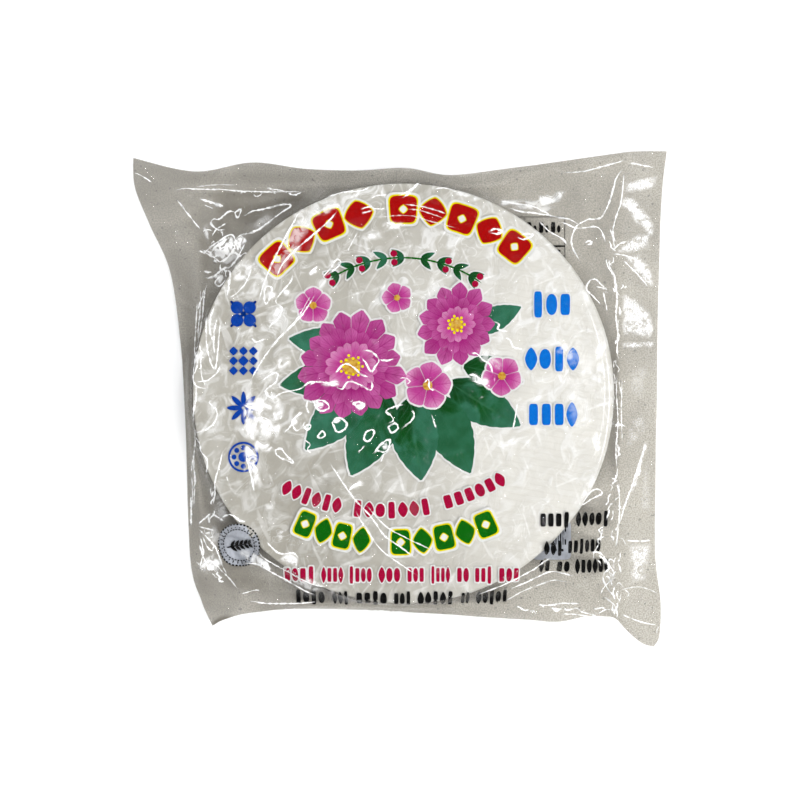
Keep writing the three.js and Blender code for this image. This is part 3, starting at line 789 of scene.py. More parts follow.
frontFilmFinish = {
    "lineWidth": 0.46,  # of the creases' painted highlight lines, millimetres
    "ridgeHeight": 0.00024,
    "crinkleScale": 150.0,
    "crinkleHeight": 0.00034,
    "knurlScale": (1500, 800, 0),  # the rolled-in dots of the right weld
    "knurlTurn": 0.06,
    "knurlHeight": 0.00016,
    # the white of the painted highlights, glare and glints, and its roughness
    "highlightPaint": (0.97, 0.97, 0.965),
    "highlightPaintRoughness": 0.35,
    "tint": (0.99, 0.99, 0.985),
    "shadeTint": (0.94, 0.94, 0.935),  # what shadows and soft light pass through
    "glossRoughness": 0.065,
    "glossStraight": 0.006,  # share mirrored where seen straight on
    "glossGrazing": 0.55,  # and more at a glance
}


def frontFilmMaterial():
    # a clear film that mirrors a little, with white painted on: painted highlights along its creases, partly
    # stress whitening, painted glare patches and painted glints on its knurl
    finish = frontFilmFinish
    material, highlightPaint, output = newMaterial("clear crinkled film")
    tree = material.node_tree
    place = objectPlace(tree)
    lines = useGroup(tree, creaseGroup, Width=finish["lineWidth"])
    crinkle = useGroup(tree, crinkleGroup, Scale=finish["crinkleScale"])
    crumple, paintedGlare, knurl = (stored(tree, name) for name in ("crumple", "paintedGlare", "knurl"))
    flat = put(tree, "ShaderNodeMapping", {"Vector": place, "Rotation": (0, 0, finish["knurlTurn"]),
                                           "Scale": finish["knurlScale"]})
    dots = put(tree, "ShaderNodeTexVoronoi", {"Vector": flat.outputs[0], "Scale": 1.0}, feature="F1",
               voronoi_dimensions="2D")
    bumps = calc(tree, "MULTIPLY", dots.outputs["Distance"], finish["knurlHeight"])
    bumps = calc(tree, "MULTIPLY", bumps, knurl)
    relief = calc(tree, "MULTIPLY", crumple, finish["crinkleHeight"])
    relief = calc(tree, "MULTIPLY", crinkle.outputs["Height"], relief)
    ridge = calc(tree, "MULTIPLY", lines.outputs["Ridge"], finish["ridgeHeight"])
    bump = bumpFrom(tree, calc(tree, "ADD", calc(tree, "ADD", relief, ridge), bumps))
    patches = ramp(tree, noise(tree, place, 170.0, 3.0, 0.8, 0.6), 0.31, 0.58)
    grain = ramp(tree, dots.outputs["Distance"], 0.6, 0.25, 0.5, 1.0)
    grain = calc(tree, "MAXIMUM", grain, calc(tree, "SUBTRACT", 1.0, knurl))
    # painted glare, broken into patches, and into grain on the knurl
    paintedGlareMark = calc(tree, "MULTIPLY", calc(tree, "MULTIPLY", paintedGlare, patches), grain)
    # painted glints: white specks on the knurl's dots
    paintedKnurlGlint = calc(tree, "MULTIPLY", knurl, ramp(tree, dots.outputs["Distance"], 0.30, 0.12, 0.0, 0.22))
    # white: the painted highlights of the creases, the painted glare and the painted knurl glints
    white = calc(tree, "ADD", lines.outputs["Line"], calc(tree, "ADD", paintedGlareMark, paintedKnurlGlint), clamp=True)
    highlightPaint.inputs["Base Color"].default_value = (*finish["highlightPaint"], 1.0)
    highlightPaint.inputs["Roughness"].default_value = finish["highlightPaintRoughness"]
    tree.links.new(bump, highlightPaint.inputs["Normal"])
    clear = put(tree, "ShaderNodeBsdfTransparent", {"Color": (*finish["tint"], 1.0)})
    gloss = put(tree, "ShaderNodeBsdfGlossy", {"Color": (1.0, 1.0, 1.0, 1.0),
                                               "Roughness": finish["glossRoughness"], "Normal": bump})
    highlightPaintMix = put(tree, "ShaderNodeMixShader", {0: white, 1: clear.outputs[0], 2: highlightPaint.outputs[0]})
    mirrored = facingGloss(tree, bump, finish["glossStraight"], finish["glossGrazing"])
    whole = put(tree, "ShaderNodeMixShader", {0: mirrored, 1: highlightPaintMix.outputs[0], 2: gloss.outputs[0]})
    plain = put(tree, "ShaderNodeBsdfTransparent", {"Color": (*finish["shadeTint"], 1.0)})
    tree.links.new(plainForSpread(tree, whole.outputs[0], plain.outputs[0]), output.inputs["Surface"])
    return material


lowerFilmFinish = {
    "dark": (0.080, 0.066, 0.042),  # painted shade, where its tone is 0
    "light": (0.480, 0.450, 0.382),  # painted light, where its tone is 1
    "speck": (0.13, 0.12, 0.10),
    "fleck": (0.05, 0.045, 0.04),
    "roughness": 0.45,
    "waveHeight": 0.0016,
    "shade": (0.32, 0.30, 0.26),  # what soft light meets
    "shadeShare": 0.45,
}


def lowerFilmMaterial():
    # the lower film lets the surface below show as a speckled grey-beige; "tone" is painted light and shade,
    # lighter towards the right, from the painted shade of the trough beside the stack to the light of the
    # free flaps
    finish = lowerFilmFinish
    material, body, output = newMaterial("smoky lower film")
    tree = material.node_tree
    place = objectPlace(tree)
    tone = stored(tree, "tone")
    cloud = noise(tree, place, 26.0, 4.0, 0.7, 0.55)
    speck = noise(tree, place, 1300.0, 1.0, 0.0, 0.6)
    fleck = ramp(tree, noise(tree, place, 380.0, 1.0), 0.27, 0.20)
    share = calc(tree, "ADD", tone, ramp(tree, cloud, 0.3, 0.7, -0.13, 0.13), clamp=True)
    # painted light and shade by tone
    base = mixColor(tree, share, finish["dark"], finish["light"])
    base = mixColor(tree, ramp(tree, speck, 0.40, 0.60, 0.0, 0.5), base, finish["speck"])
    base = mixColor(tree, calc(tree, "MULTIPLY", fleck, 0.6), base, finish["fleck"])
    tree.links.new(base, body.inputs["Base Color"])
    body.inputs["Roughness"].default_value = finish["roughness"]
    tree.links.new(ramp(tree, tone, 0.05, 0.42, 0.97, 0.82), body.inputs["Alpha"])
    tree.links.new(bumpFrom(tree, calc(tree, "MULTIPLY", cloud, finish["waveHeight"])), body.inputs["Normal"])
    matt = put(tree, "ShaderNodeBsdfDiffuse", {"Color": (*finish["shade"], 1.0)})
    clear = put(tree, "ShaderNodeBsdfTransparent")
    shareOfMatt = finish["shadeShare"]
    plain = put(tree, "ShaderNodeMixShader", {0: shareOfMatt, 1: clear.outputs[0], 2: matt.outputs[0]})
    tree.links.new(plainForSpread(tree, body.outputs[0], plain.outputs[0]), output.inputs["Surface"])
    return material


paperFinish = {
    "shadedSide": (0.345, 0.328, 0.285),
    "litSide": (0.64, 0.626, 0.585),
    "cloud": (0.52, 0.505, 0.465),
    "weave": (0.40, 0.37, 0.31),
    # pearly flakes: partly the paper's own pattern, partly painted sheen
    "flakesAndSheen": (0.76, 0.76, 0.755),
    "foldHighlight": (0.90, 0.90, 0.90),
    "foldHighlights": ((-0.62, 230.0), (0.35, 250.0), (-1.25, 210.0)),  # turn and scale of the short folds' painted highlights
    "paintedShade": (0.85, 0.845, 0.83),
    "paintedShadeMiddle": (-0.030, -0.062, 0.018),  # the middle of the painted shade, the greyest place, near the lower left
    "roughness": 0.42,
    "flakeHeight": 0.0011,
}


def laidAt(tree, place, turn, scale):  # a pattern turned and stretched
    mapping = put(tree, "ShaderNodeMapping", {"Vector": place, "Rotation": (0, 0, turn), "Scale": scale},
                  vector_type="TEXTURE")
    return mapping.outputs[0]


def paperFoldHighlights(tree, place, askew):  # painted highlights along short folds in three directions, and along bowed ones
    foldHighlights = None
    for turn, scale in paperFinish["foldHighlights"]:
        laid = laidAt(tree, place, turn, (1.0, 6.0, 1.0))
        one = ramp(tree, noise(tree, laid, scale, 1.5, 0.35), 0.66, 0.78)
        foldHighlights = one if foldHighlights is None else calc(tree, "MAXIMUM", foldHighlights, one)
    bow = calc(tree, "ABSOLUTE", calc(tree, "SUBTRACT", noise(tree, askew, 70.0, 3.0, 0.9), 0.5))
    here = ramp(tree, noise(tree, askew, 50.0, 1.0), 0.45, 0.6)
    bow = calc(tree, "MULTIPLY", ramp(tree, bow, 0.014, 0.0), here)
    return calc(tree, "MAXIMUM", foldHighlights, bow)


def paperMaterial():
    # off-white with a faint mat weave and pearly flakes with a hard edge, fewer towards the near side;
    # painted light and shade across it, painted sheen on the flakes and painted highlights along short folds
    finish = paperFinish
    material, body, _ = newMaterial("dried rice paper")
    tree = material.node_tree
    place = objectPlace(tree)
    across, away = put(tree, "ShaderNodeSeparateXYZ", {0: place}).outputs[:2]
    askew = laidAt(tree, place, 0.9, (1.0, 0.8, 1.0))
    cloud = noise(tree, askew, 36.0, 3.0, 0.8)
    flake = noise(tree, askew, 90.0, 4.0, 1.1, 0.55)
    # pearly flakes: partly the paper's own pattern, partly painted sheen
    rim, core = ramp(tree, flake, 0.46, 0.55, 0.0, 0.40), ramp(tree, flake, 0.55, 0.66, 0.0, 0.60)
    flakesAndSheen = calc(tree, "ADD", rim, core)
    flakesAndSheen = calc(tree, "MULTIPLY", flakesAndSheen, ramp(tree, away, -0.10, 0.03, 0.48, 1.0))
    flakesAndSheen = calc(tree, "MULTIPLY", flakesAndSheen, ramp(tree, cloud, 0.32, 0.56, 0.25, 1.0))
    foldHighlights = paperFoldHighlights(tree, place, askew)
    turned = put(tree, "ShaderNodeMapping", {"Vector": place, "Rotation": (0, 0, 0.18)}).outputs[0]
    weaveInputs = {"Vector": turned, "Scale": 95.0, "Distortion": 1.6, "Detail": 1.0, "Detail Scale": 1.2}
    weave = put(tree, "ShaderNodeTexWave", weaveInputs, wave_type="BANDS", bands_direction="Y").outputs["Fac"]
    # painted light and shade: lighter towards the right, darker towards the left and the top and bottom edges
    fall = calc(tree, "MULTIPLY", away, calc(tree, "MULTIPLY_ADD", away, -5.0, -0.05))
    side = ramp(tree, calc(tree, "ADD", across, fall), -0.078, 0.086)
    base = mixColor(tree, side, finish["shadedSide"], finish["litSide"])
    base = mixColor(tree, ramp(tree, cloud, 0.3, 0.7, 0.0, 0.4), base, finish["cloud"])
    base = mixColor(tree, ramp(tree, weave, 0.75, 1.0, 0.0, 0.12), base, finish["weave"])
    base = mixColor(tree, calc(tree, "MULTIPLY", flakesAndSheen, 0.75), base, finish["flakesAndSheen"])
    # painted highlights along short folds, brightest on the pearly flakes
    foldHighlights = calc(tree, "MULTIPLY", foldHighlights, ramp(tree, flakesAndSheen, 0.0, 1.0, 0.30, 0.80))
    base = mixColor(tree, foldHighlights, base, finish["foldHighlight"])
    # painted shade, greyest near the lower left
    paintedShade = put(tree, "ShaderNodeVectorMath", {0: place, 1: finish["paintedShadeMiddle"]}, operation="DISTANCE")
    paintedShade = ramp(tree, paintedShade.outputs["Value"], 0.02, 0.085, 1.0, 0.0)
    base = mixColor(tree, paintedShade, base, finish["paintedShade"], "MULTIPLY")
    tree.links.new(base, body.inputs["Base Color"])
    body.inputs["Roughness"].default_value = finish["roughness"]
    relief = calc(tree, "MULTIPLY", flake, finish["flakeHeight"])
    tree.links.new(bumpFrom(tree, relief, 0.6), body.inputs["Normal"])
    return material


def newInk(name):  # ink lies inside the film, so it has no shine of its own
    material, body, _ = newMaterial(name)
    body.inputs["Roughness"].default_value = 0.6
    body.inputs["Specular IOR Level"].default_value = 0.05
    return material, material.node_tree, body.inputs["Base Color"]


def inkMaterial(name, color, darker):
    material, tree, colorSocket = newInk(name)
    uneven = ramp(tree, noise(tree, objectPlace(tree), 500.0, 2.0), 0.35, 0.7)
    tree.links.new(mixColor(tree, uneven, color, darker), colorSocket)
    return material


def shadedInk(name, inner, middle, outer, vein, patchy):
    # colour runs from the foot of a petal or leaf to its tip, with a line down the middle and side veins
    material, tree, colorSocket = newInk(name)
    place = objectPlace(tree)
    blade = put(tree, "ShaderNodeAttribute", attribute_name="blade")
    along, across, tone = put(tree, "ShaderNodeSeparateXYZ", {0: blade.outputs["Vector"]}).outputs
    away = calc(tree, "ABSOLUTE", across)
    base = mixColor(tree, ramp(tree, along, 0.0, 0.5), inner, middle)
    base = mixColor(tree, ramp(tree, along, 0.45, 1.0), base, outer)
    slant = calc(tree, "SUBTRACT", along, calc(tree, "MULTIPLY", away, 0.35))
    sideVeins = calc(tree, "SINE", calc(tree, "MULTIPLY", slant, 44.0))
    base = mixColor(tree, ramp(tree, sideVeins, 0.55, 1.0, 0.0, 0.3), base, vein)
    base = mixColor(tree, ramp(tree, away, 0.10, 0.0, 0.0, 0.6), base, vein)
    base = mixColor(tree, ramp(tree, away, 0.7, 1.0, 0.0, 0.35), base, outer)
    bloom = ramp(tree, noise(tree, place, 38.0, 3.0, 0.5), 0.46, 0.60, 0.0, patchy)
    base = mixColor(tree, bloom, base, outer)
    mottled = calc(tree, "MULTIPLY", ramp(tree, noise(tree, place, 150.0, 3.0), 0.35, 0.7), 0.3)
    base = mixColor(tree, mottled, base, inner)
    tree.links.new(mixColor(tree, calc(tree, "MULTIPLY", tone, 0.45), base, middle), colorSocket)
    return material


print("shaders defined")

# the two films

filmLook = {
    "columns": 314,
    "rows": 290,
    "backColumns": 170,
    "backRows": 156,
    "hem": 0.25,  # how far the front film's edge turns down
    "stackEdge": (104, 112),  # where the film leaves the stack
    "wrinkleOnStack": 0.30,
    "wrinkleOnSlope": 0.55,
    "wrinkleOnFlap": 0.22,
    "backWave": 0.5,
    "crumple": 1.1,
    "crumpleLimit": 2.4,  # the most that a corner's folds rise or fall
    "leastGap": 0.6,  # between the top wrapper and the film, where the print lies
    "roomAtRim": 1.3,  # between the two films at the stack's rim
    "roomAtSeal": 0.3,
    "fray": 0.16,  # how uneven the painted glare spots' edges are
    "glarePatchFray": 0.25,
    "knurlBand": (117, 120, 131, 134),  # where the right weld's dots start and end
}

glareSpots = [  # middle, half sizes, turn, strength: painted glare, white places on the film
    ((-76.5, -8.5), (9.5, 7.5), 0.6, 1.1),
    ((-72, -18), (9, 8), -0.5, 1.1),
    ((-67, -12), (7, 3.2), 0.5, 0.8),
    ((-80, -19), (3.5, 8), 0.2, 0.9),
    ((-69, -4), (6, 6.5), 0.3, 0.9),
    ((-73, -27), (5, 5), 0.0, 0.8),
    ((-47, 63.5), (2.6, 1.7), 0.5, 1.0),
    ((-37, 65), (5, 1.3), 0.75, 0.8),
    ((-61, 52.5), (2.2, 2.4), 0.0, 1.0),
    ((-62, 16), (4.5, 4), 0.4, 0.85),
    ((-65.5, 43), (1.8, 6), -0.3, 0.8),
    ((-17, 82), (6.5, 2.2), 0.25, 0.55),
    ((-40, 96.5), (11, 2.8), 0.35, 0.65),
    ((-53, 92), (5, 6), -0.4, 0.5),
    ((-57, -15), (5, 3), 0.9, 0.7),
    ((-64, -74), (3.2, 2.2), 0.3, 0.7),
    ((-71, -60), (4.5, 2.4), 0.0, 0.5),
    ((-24, -48), (4.5, 2), 0.3, 0.8),
    ((-74, 90), (8, 4), 0.4, 0.3),
    ((-96, -60), (4, 10), 0.2, 0.35),
    ((-100, -76), (4, 6), 0.0, 0.4),
    ((-84, 66), (7, 4), 0.9, 0.5),
    ((-79, -36), (4, 17), 0.25, 0.9),
    ((-22.3, -6.6), (3.2, 2.0), 0.0, 1.6),
    ((-34.8, -14), (1.9, 1.6), 0.0, 1.6),
    ((-9.5, -28), (2.2, 3.0), 0.4, 1.4),
    ((-44, -6), (2.6, 2.0), 0.2, 1.5),
    ((-37, 5), (6, 1.6), 0.1, 1.0),
    ((40, 7), (6, 3), -0.3, 1.0),
    ((-92, 74), (9, 8), 0.8, 0.5),
    ((-58, 78), (5, 30), -0.5, 0.45),
    ((-69, 52), (2.5, 6), 0.1, 0.8),
    ((68, 99), (14, 4), -0.15, 0.6),
    ((-81, -86), (7, 4), -0.5, 0.7),
    ((-50, -101), (9, 3), -0.3, 0.5),
    ((104, 14), (2.5, 22), 0.08, 0.5),
    ((46, 18), (9, 4), -0.6, 0.4),
    ((101.5, -26), (2.4, 7.5), 0.05, 0.8),
    ((97, -50), (2.5, 10), -0.45, 0.6),
    ((-5, 88), (7, 2.5), 0.0, 0.9),
    ((-69, 5), (8, 9), 0.2, 0.35),
    ((93, 5), (9, 30), 0.0, 0.22),
    ((86, 22), (6, 5), 0.4, 0.5),
    ((-103, -90), (4, 5), 0.4, 0.5),
]

glarePatches = [  # painted glare patches with straight sides: corners in turn to the left, strength, softness of the edge
    ([(117.5, 107), (127, 107.5), (136, 109.5), (136.5, 117), (126, 115), (117.5, 113)], 1.1, 3.0),
    ([(115.5, 100), (131, 84.5), (135, 83), (134, 93), (124, 104.5), (116.5, 107)], 1.1, 3.0),
    ([(112, 74.5), (121, 74.5), (132, 77.5), (132.5, 86), (122, 84)], 1.0, 2.8),
    ([(117.5, 74), (127, 60), (134, 55), (133.5, 66), (127, 74)], 1.1, 2.8),
    ([(116.5, 31), (133, 29), (134.5, 33), (133.5, 42), (123, 51), (116.5, 53)], 0.95, 3.0),
    ([(116.5, 45), (123, 42), (125, 50), (117.5, 54)], 0.8, 2.0),
    ([(116.5, 23), (134, 25), (134, 28), (116.5, 27)], 0.8, 1.2),
    ([(121, -103), (130, -100), (134, -79.5), (119.5, -80)], 0.7, 4.0),
    ([(130.9, -26.5), (129, -27), (119, -61.5), (125.9, -45)], 1.2, 0.8),
    ([(120, 0), (128, -4), (132, 8), (130, 15), (121, 13)], 0.22, 3.5),
    ([(118.5, -29), (126, -27), (131, -18), (129, -10), (120, -14)], 0.28, 3.5),
    ([(125, -66), (133, -62), (132, -34), (128, -40)], 0.22, 3.0),
    ([(71, 98), (83, 101), (88, 108), (72, 106)], 1.0, 2.0),
    ([(50, 98), (66, 99), (66, 103), (52, 102)], 0.7, 1.6),
    ([(-108, 103.8), (-100.5, 99.8), (-95, 98.8), (-100.5, 102.6)], 1.6, 0.8),
    ([(-105.5, 75), (-99.8, 71.8), (-95.7, 69.7), (-88.4, 76.3), (-90, 83.6)], 1.2, 1.2),
    ([(-88.6, 76.3), (-87, 74), (-82.2, 80.4), (-85.5, 83.6), (-89, 80)], 1.4, 0.8),
    ([(-106, 86), (-102.9, 79.9), (-102.4, 84), (-103.5, 89.5), (-105.5, 89)], 0.7, 1.0),
    ([(-90, 59), (-80.5, 58.5), (-77.7, 68.5), (-85.5, 65.8)], 0.8, 1.4),
    ([(-79, -84), (-76, -90), (-71, -94), (-68, -93), (-73, -86)], 1.2, 1.2),
    ([(-104, -93), (-99, -98), (-96, -90), (-100, -87)], 0.9, 1.5),
    ([(-66.3, -87.4), (-55.1, -92.1), (-54.1, -86.9), (-58.8, -82.2)], 0.8, 1.8),
    ([(-54.1, -98.2), (-35.4, -105.7), (-38.2, -101), (-50, -96.5)], 0.7, 1.5),
    ([(-102, 61), (-95, 57), (-91, 66), (-97, 65)], 0.7, 1.2),
    ([(-110.5, -92), (-102, -99), (-99, -84), (-105, -86)], 0.6, 2.5),
]


def filmShares(distance, flap):  # how far a point lies on the stack, on the slope and on the flap
    onStack = 1 - smoothStep(distance, *filmLook["stackEdge"])
    onFlap = smoothStep(flap, 0.02, 0.2)
    return onStack, np.clip(1 - onStack - onFlap, 0, 1), onFlap


def backFilmLevel(x, y):  # the lower film with low waves where it is free of stack and weld
    _, distance, _, _, flap = zones(x, y)
    free = smoothStep(distance, 100, 118) * (1 - smoothStep(flap, 0, 0.2))
    z = lowerFilm(x, y) + free * np.maximum(filmLook["backWave"] * rollingWaves(x, y, 23, 9, 26, 40), -0.1)
    return np.where(flap > 0, upperFilm(x, y) - 0.25, np.maximum(z, 0.12))


def filmLevel(x, y):
    # the front film with its wrinkles, before its ridges: waves everywhere and a crumple in the corners,
    # whose height is held by a tanh, and clear of what lies under it
    _, distance, seal, slope, flap = zones(x, y)
    corner = cornerShare(seal)
    onStack, onSlope, onFlap = filmShares(distance, flap)
    size = (onStack * filmLook["wrinkleOnStack"] + onSlope * filmLook["wrinkleOnSlope"] * (0.4 + corner)
            + onFlap * filmLook["wrinkleOnFlap"])
    limit = filmLook["crumpleLimit"]
    crumple = limit * np.tanh(foldedPlanes(x, y, 17, 15) * filmLook["crumple"] / limit) * onSlope * corner
    z = upperFilm(x, y) + rollingWaves(x, y, 7, 8, 24, 60, 1.1) * size + crumple
    room = mix(filmLook["roomAtRim"], filmLook["roomAtSeal"], slope**3) * (flap <= 0)
    z = np.maximum(z, backFilmLevel(x, y) + room)
    overStack = np.maximum(z, topWrapper(x, y) + filmLook["leastGap"])
    return np.where(distance < bag["wrapperRadius"] + 1, overStack, z)


def inSpot(x, y, spot, core):  # 1 within the core of a turned oval, falling to 0 at its edge
    (cx, cy), (a, b), turn, _ = spot
    u = (x - cx) * np.cos(turn) + (y - cy) * np.sin(turn)
    v = (y - cy) * np.cos(turn) - (x - cx) * np.sin(turn)
    return 1 - smoothStep(np.hypot(u / a, v / b), core, 1.0)


def paintedGlareShare(x, y):
    # the painted glare: the strongest of the frayed spots and of the patches with straight sides; these grow
    # with the distance in from their sides
    paintedGlare = np.zeros(x.size)
    frayX, frayY = rollingWaves(x, y, 51, 3, 11, 40), rollingWaves(x, y, 52, 3, 11, 40)
    for spot in glareSpots:
        fray = filmLook["fray"] * min(spot[1])
        paintedGlare = np.maximum(paintedGlare, spot[3] * inSpot(x + fray * frayX, y + fray * frayY, spot, 0.35))
    for corners, amount, soft in glarePatches:
        corners = np.array(corners, float)
        step = np.roll(corners, -1, 0) - corners
        inward = np.column_stack([-step[:, 1], step[:, 0]]) / np.hypot(*step.T)[:, None]
        depth = np.min([(x - c[0]) * n[0] + (y - c[1]) * n[1] for c, n in zip(corners, inward)], 0)
        paintedGlare = np.maximum(paintedGlare, amount * smoothStep(depth + filmLook["glarePatchFray"] * frayX, 0, soft))
    return paintedGlare


def makeFrontFilm():
    flat = filledOutline(bagEdges, filmLook["columns"], filmLook["rows"])
    flat = np.pad(flat, ((1, 1), (1, 1), (0, 0)), mode="edge")  # one more row all round for the hem
    rows, columns = flat.shape[:2]
    x, y = flat[..., 0].ravel(), flat[..., 1].ravel()
    _, distance, seal, _, flap = zones(x, y)
    onStack, onSlope, onFlap = filmShares(distance, flap)
    side, strength, ridge = layCreases(x, y)
    z = np.maximum(filmLevel(x, y) + ridge, lowerFilm(x, y) + 0.35)
    edge = np.zeros((rows, columns), bool)
    edge[[0, -1]] = True
    edge[:, [0, -1]] = True
    z = z - filmLook["hem"] * edge.ravel()
    film = meshFrom("front_film", np.column_stack([x, y, z]), [gridFaces(rows, columns)])
    for k in range(creaseLook["layers"]):
        storeValue(film, f"crease{k}", np.column_stack([side[k], strength[k], np.zeros(x.size)]))
    storeValue(film, "crumple", 0.06 * onStack + onSlope * (0.2 + 0.6 * cornerShare(seal)) + 0.25 * onFlap)
    # painted glare, stored for the film's white
    storeValue(film, "paintedGlare", paintedGlareShare(x, y))
    left, right = filmLook["knurlBand"][:2], filmLook["knurlBand"][2:]
    rightBand = smoothStep(x, *left) * (1 - smoothStep(x, *right))
    storeValue(film, "knurl", rightBand + 0.1 * smoothStep(flap, 0.05, 0.3) * (1 - rightBand))
    film.data.materials.append(frontFilmMaterial())
    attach(film, "root")
    return film


troughShade = (  # directions in degrees, and how much painted shade darkens the trough beside the stack there
    (-180, -150, -135, -90, -45, 0, 30, 60, 90, 120, 135, 150, 180),
    (0.20, 0.24, 0.34, 0.18, -0.10, 0.22, 0.34, 0.04, 0.04, 0.36, 0.46, 0.28, 0.16),
)

paintedShadeSpots = [  # middle, half sizes, turn, strength: painted shade, places where the lower film is darkened still more
    ((-86, 106.2), (32, 3.0), 0.0, 0.5),
    ((-66, 101), (24, 4.5), 0.13, 0.5),
    ((-112, 20), (5, 60), 0.03, 0.2),
    ((-88, -98), (22, 10), -0.4, 0.45),
    ((-95, -62), (7, 14), 0.3, 0.3),
    ((-96.5, -121.2), (9, 2.6), 0.36, 1.0),
    ((-106, -106), (10, 16), 0.3, 0.3),
    ((-80, 114), (40, 6), 0.0, 0.3),
    ((108, 40), (4, 22), 0.0, 0.3),
    ((109, -105), (10, 6), 0.3, 0.22),
    ((109, -62), (5.5, 15), 0.25, 0.42),
    ((126, 62), (7, 9), 0.2, 0.30),
    ((112.5, -12), (3.8, 56), 0.0, 0.46),
]

paintedLightLook = {"left": 0.43, "right": 0.83, "nearCorner": 0.20, "folds": 0.07}  # painted light and shade: 0 is dark, 1 is light


def makeBackFilm():
    # its tone is painted light and shade: lighter from left to right, painted shade in the trough and in
    # spots, painted light and shade on soft folds, most light at the near right corner
    flat = filledOutline(bagEdges, filmLook["backColumns"], filmLook["backRows"])
    rows, columns = flat.shape[:2]
    x, y = flat[..., 0].ravel(), flat[..., 1].ravel()
    direction, distance, seal, slope, _ = zones(x, y)
    points = np.column_stack([x, y, backFilmLevel(x, y)])
    film = meshFrom("back_film", points, [gridFaces(rows, columns)[:, ::-1]])
    inPouch = 1 - smoothStep(slope, 0.7, 1.0)
    byStack = 1 - smoothStep(distance, 108, 120)
    # painted shade in the trough beside the stack, by direction
    shade = (inPouch + 0.25 * byStack) * np.interp(np.degrees(direction), *troughShade)
    folds = np.clip(foldedPlanes(x, y, 41, 30) / 3, -1, 1) * cornerShare(seal) * inPouch
    # painted light: lighter from left to right, with painted light and shade on soft folds and more light at
    # the near right corner
    tone = mix(paintedLightLook["left"], paintedLightLook["right"], smoothStep(x, -135, 135)) * (1 - shade)
    tone = tone + paintedLightLook["folds"] * folds + paintedLightLook["nearCorner"] * smoothStep(x - 0.5 * y, 120, 180)
    # painted shade spots
    for spot in paintedShadeSpots:
        tone = tone * (1 - spot[3] * inSpot(x, y, spot, 0.3))
    storeValue(film, "tone", tone)
    film.data.materials.append(lowerFilmMaterial())
    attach(film, "root")


frontFilm = makeFrontFilm()
makeBackFilm()
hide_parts("sealed_pack")
print("films made")

# the wrappers

stack = {
    "sheets": 36,
    "pitch": 0.49,
    "thickness": 0.3,
    "around": 180,
    "slip": 1.1,  # how far a sheet lies off the middle
    "lean": (2.0, -0.8),  # how far the lowest sheet lies from the top one
    "ragged": 0.35,
    "edge": 1.0009,  # how far the rounded edge reaches, as a share of the radius
    "lowest": 0.62,
    "ripple": 0.04,
    "rings": (0.4, 0.9, 1.0),  # of a sheet that lies under others, as shares of the radius
    "topRings": (*np.linspace(0.02, 0.96, 74), 0.98, 0.993, 1.0),
    "topAround": 300,
    "seed": 5,
}


def discPoints(radii, around, ragged, seed, centre=(0.0, 0.0)):
    # rings round the centre, the edge uneven by a few slow waves
    draw = np.random.default_rng(seed)
    angle = np.linspace(0, 2 * np.pi, around, endpoint=False)
    uneven = sum(draw.normal() * np.sin(n * angle + draw.random() * 6.28) / n for n in (2, 3, 5, 9, 14))
    share = np.array(radii)[:, None]
    reach = share * bag["wrapperRadius"] + share**8 * ragged * uneven
    return centre[0] + reach * np.cos(angle), centre[1] + reach * np.sin(angle)


def sheetShell(radii, around, ragged, seed, centre, heightOf, thickness):
    # upper rings from the middle out, a rounded edge, then lower rings back to the middle
    x, y = discPoints(radii, around, ragged, seed, centre)
    top = heightOf(x, y)
    edgeX, edgeY = discPoints([stack["edge"]], around, ragged, seed, centre)
    edge = heightOf(edgeX, edgeY) - thickness / 2
    xs, ys = np.vstack([x, edgeX, x[::-1]]), np.vstack([y, edgeY, y[::-1]])
    zs = np.vstack([top, edge, (top - thickness)[::-1]])
    ringCount = len(xs)
    cx, cy = np.array([centre[0]]), np.array([centre[1]])
    middle = heightOf(cx, cy)[0]
    points = np.vstack([np.column_stack([xs.ravel(), ys.ravel(), zs.ravel()]),
                        [[centre[0], centre[1], middle], [centre[0], centre[1], middle - thickness]]])
    rings = gridFaces(ringCount, around, True)[:, ::-1]
    first = np.arange(around)
    last = first + (ringCount - 1) * around
    topPole, lowPole = np.full(around, ringCount * around), np.full(around, ringCount * around + 1)
    fans = np.vstack([np.column_stack([topPole, first, np.roll(first, -1)]),
                      np.column_stack([lowPole, np.roll(last, -1), last])])
    return points, rings, fans


def makeWrappers():
    # the sheets below lie askew by a lean that grows downwards and a random slip; the top one is finer
    points, rings, fans, start = [], [], [], 0
    draw = np.random.default_rng(stack["seed"])
    for k in range(stack["sheets"] - 1):
        share = k / (stack["sheets"] - 1)
        slip = draw.normal(size=2).clip(-1.5, 1.5) * stack["slip"] * 0.5
        centre = (stack["lean"][0] * (1 - share) + slip[0], stack["lean"][1] * (1 - share) + slip[1])
        level = stack["lowest"] + k * stack["pitch"]

        def sheetHeight(x, y):  # warped and rippled the more, the higher the sheet lies
            return level + warp(x, y) * share + stack["ripple"] * np.sin(x / 9 + k) * share

        p, r, f = sheetShell(stack["rings"], stack["around"], stack["ragged"], 100 + k, centre,
                             sheetHeight, stack["thickness"])
        points.append(p)
        rings.append(r + start)
        fans.append(f + start)
        start += len(p)
    pile = meshFrom("wrappers_below", np.vstack(points), [np.vstack(rings), np.vstack(fans)])
    p, r, f = sheetShell(stack["topRings"], stack["topAround"], stack["ragged"], 1, (0.0, 0.0), topWrapper,
                         stack["thickness"])
    top = meshFrom("top_wrapper", p, [r, f])
    paper = paperMaterial()
    for piece in (pile, top):
        piece.data.materials.append(paper)
        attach(piece, "root")


makeWrappers()
print("wrappers made")

# the print on the films: plain fields of colour laid just under the front film

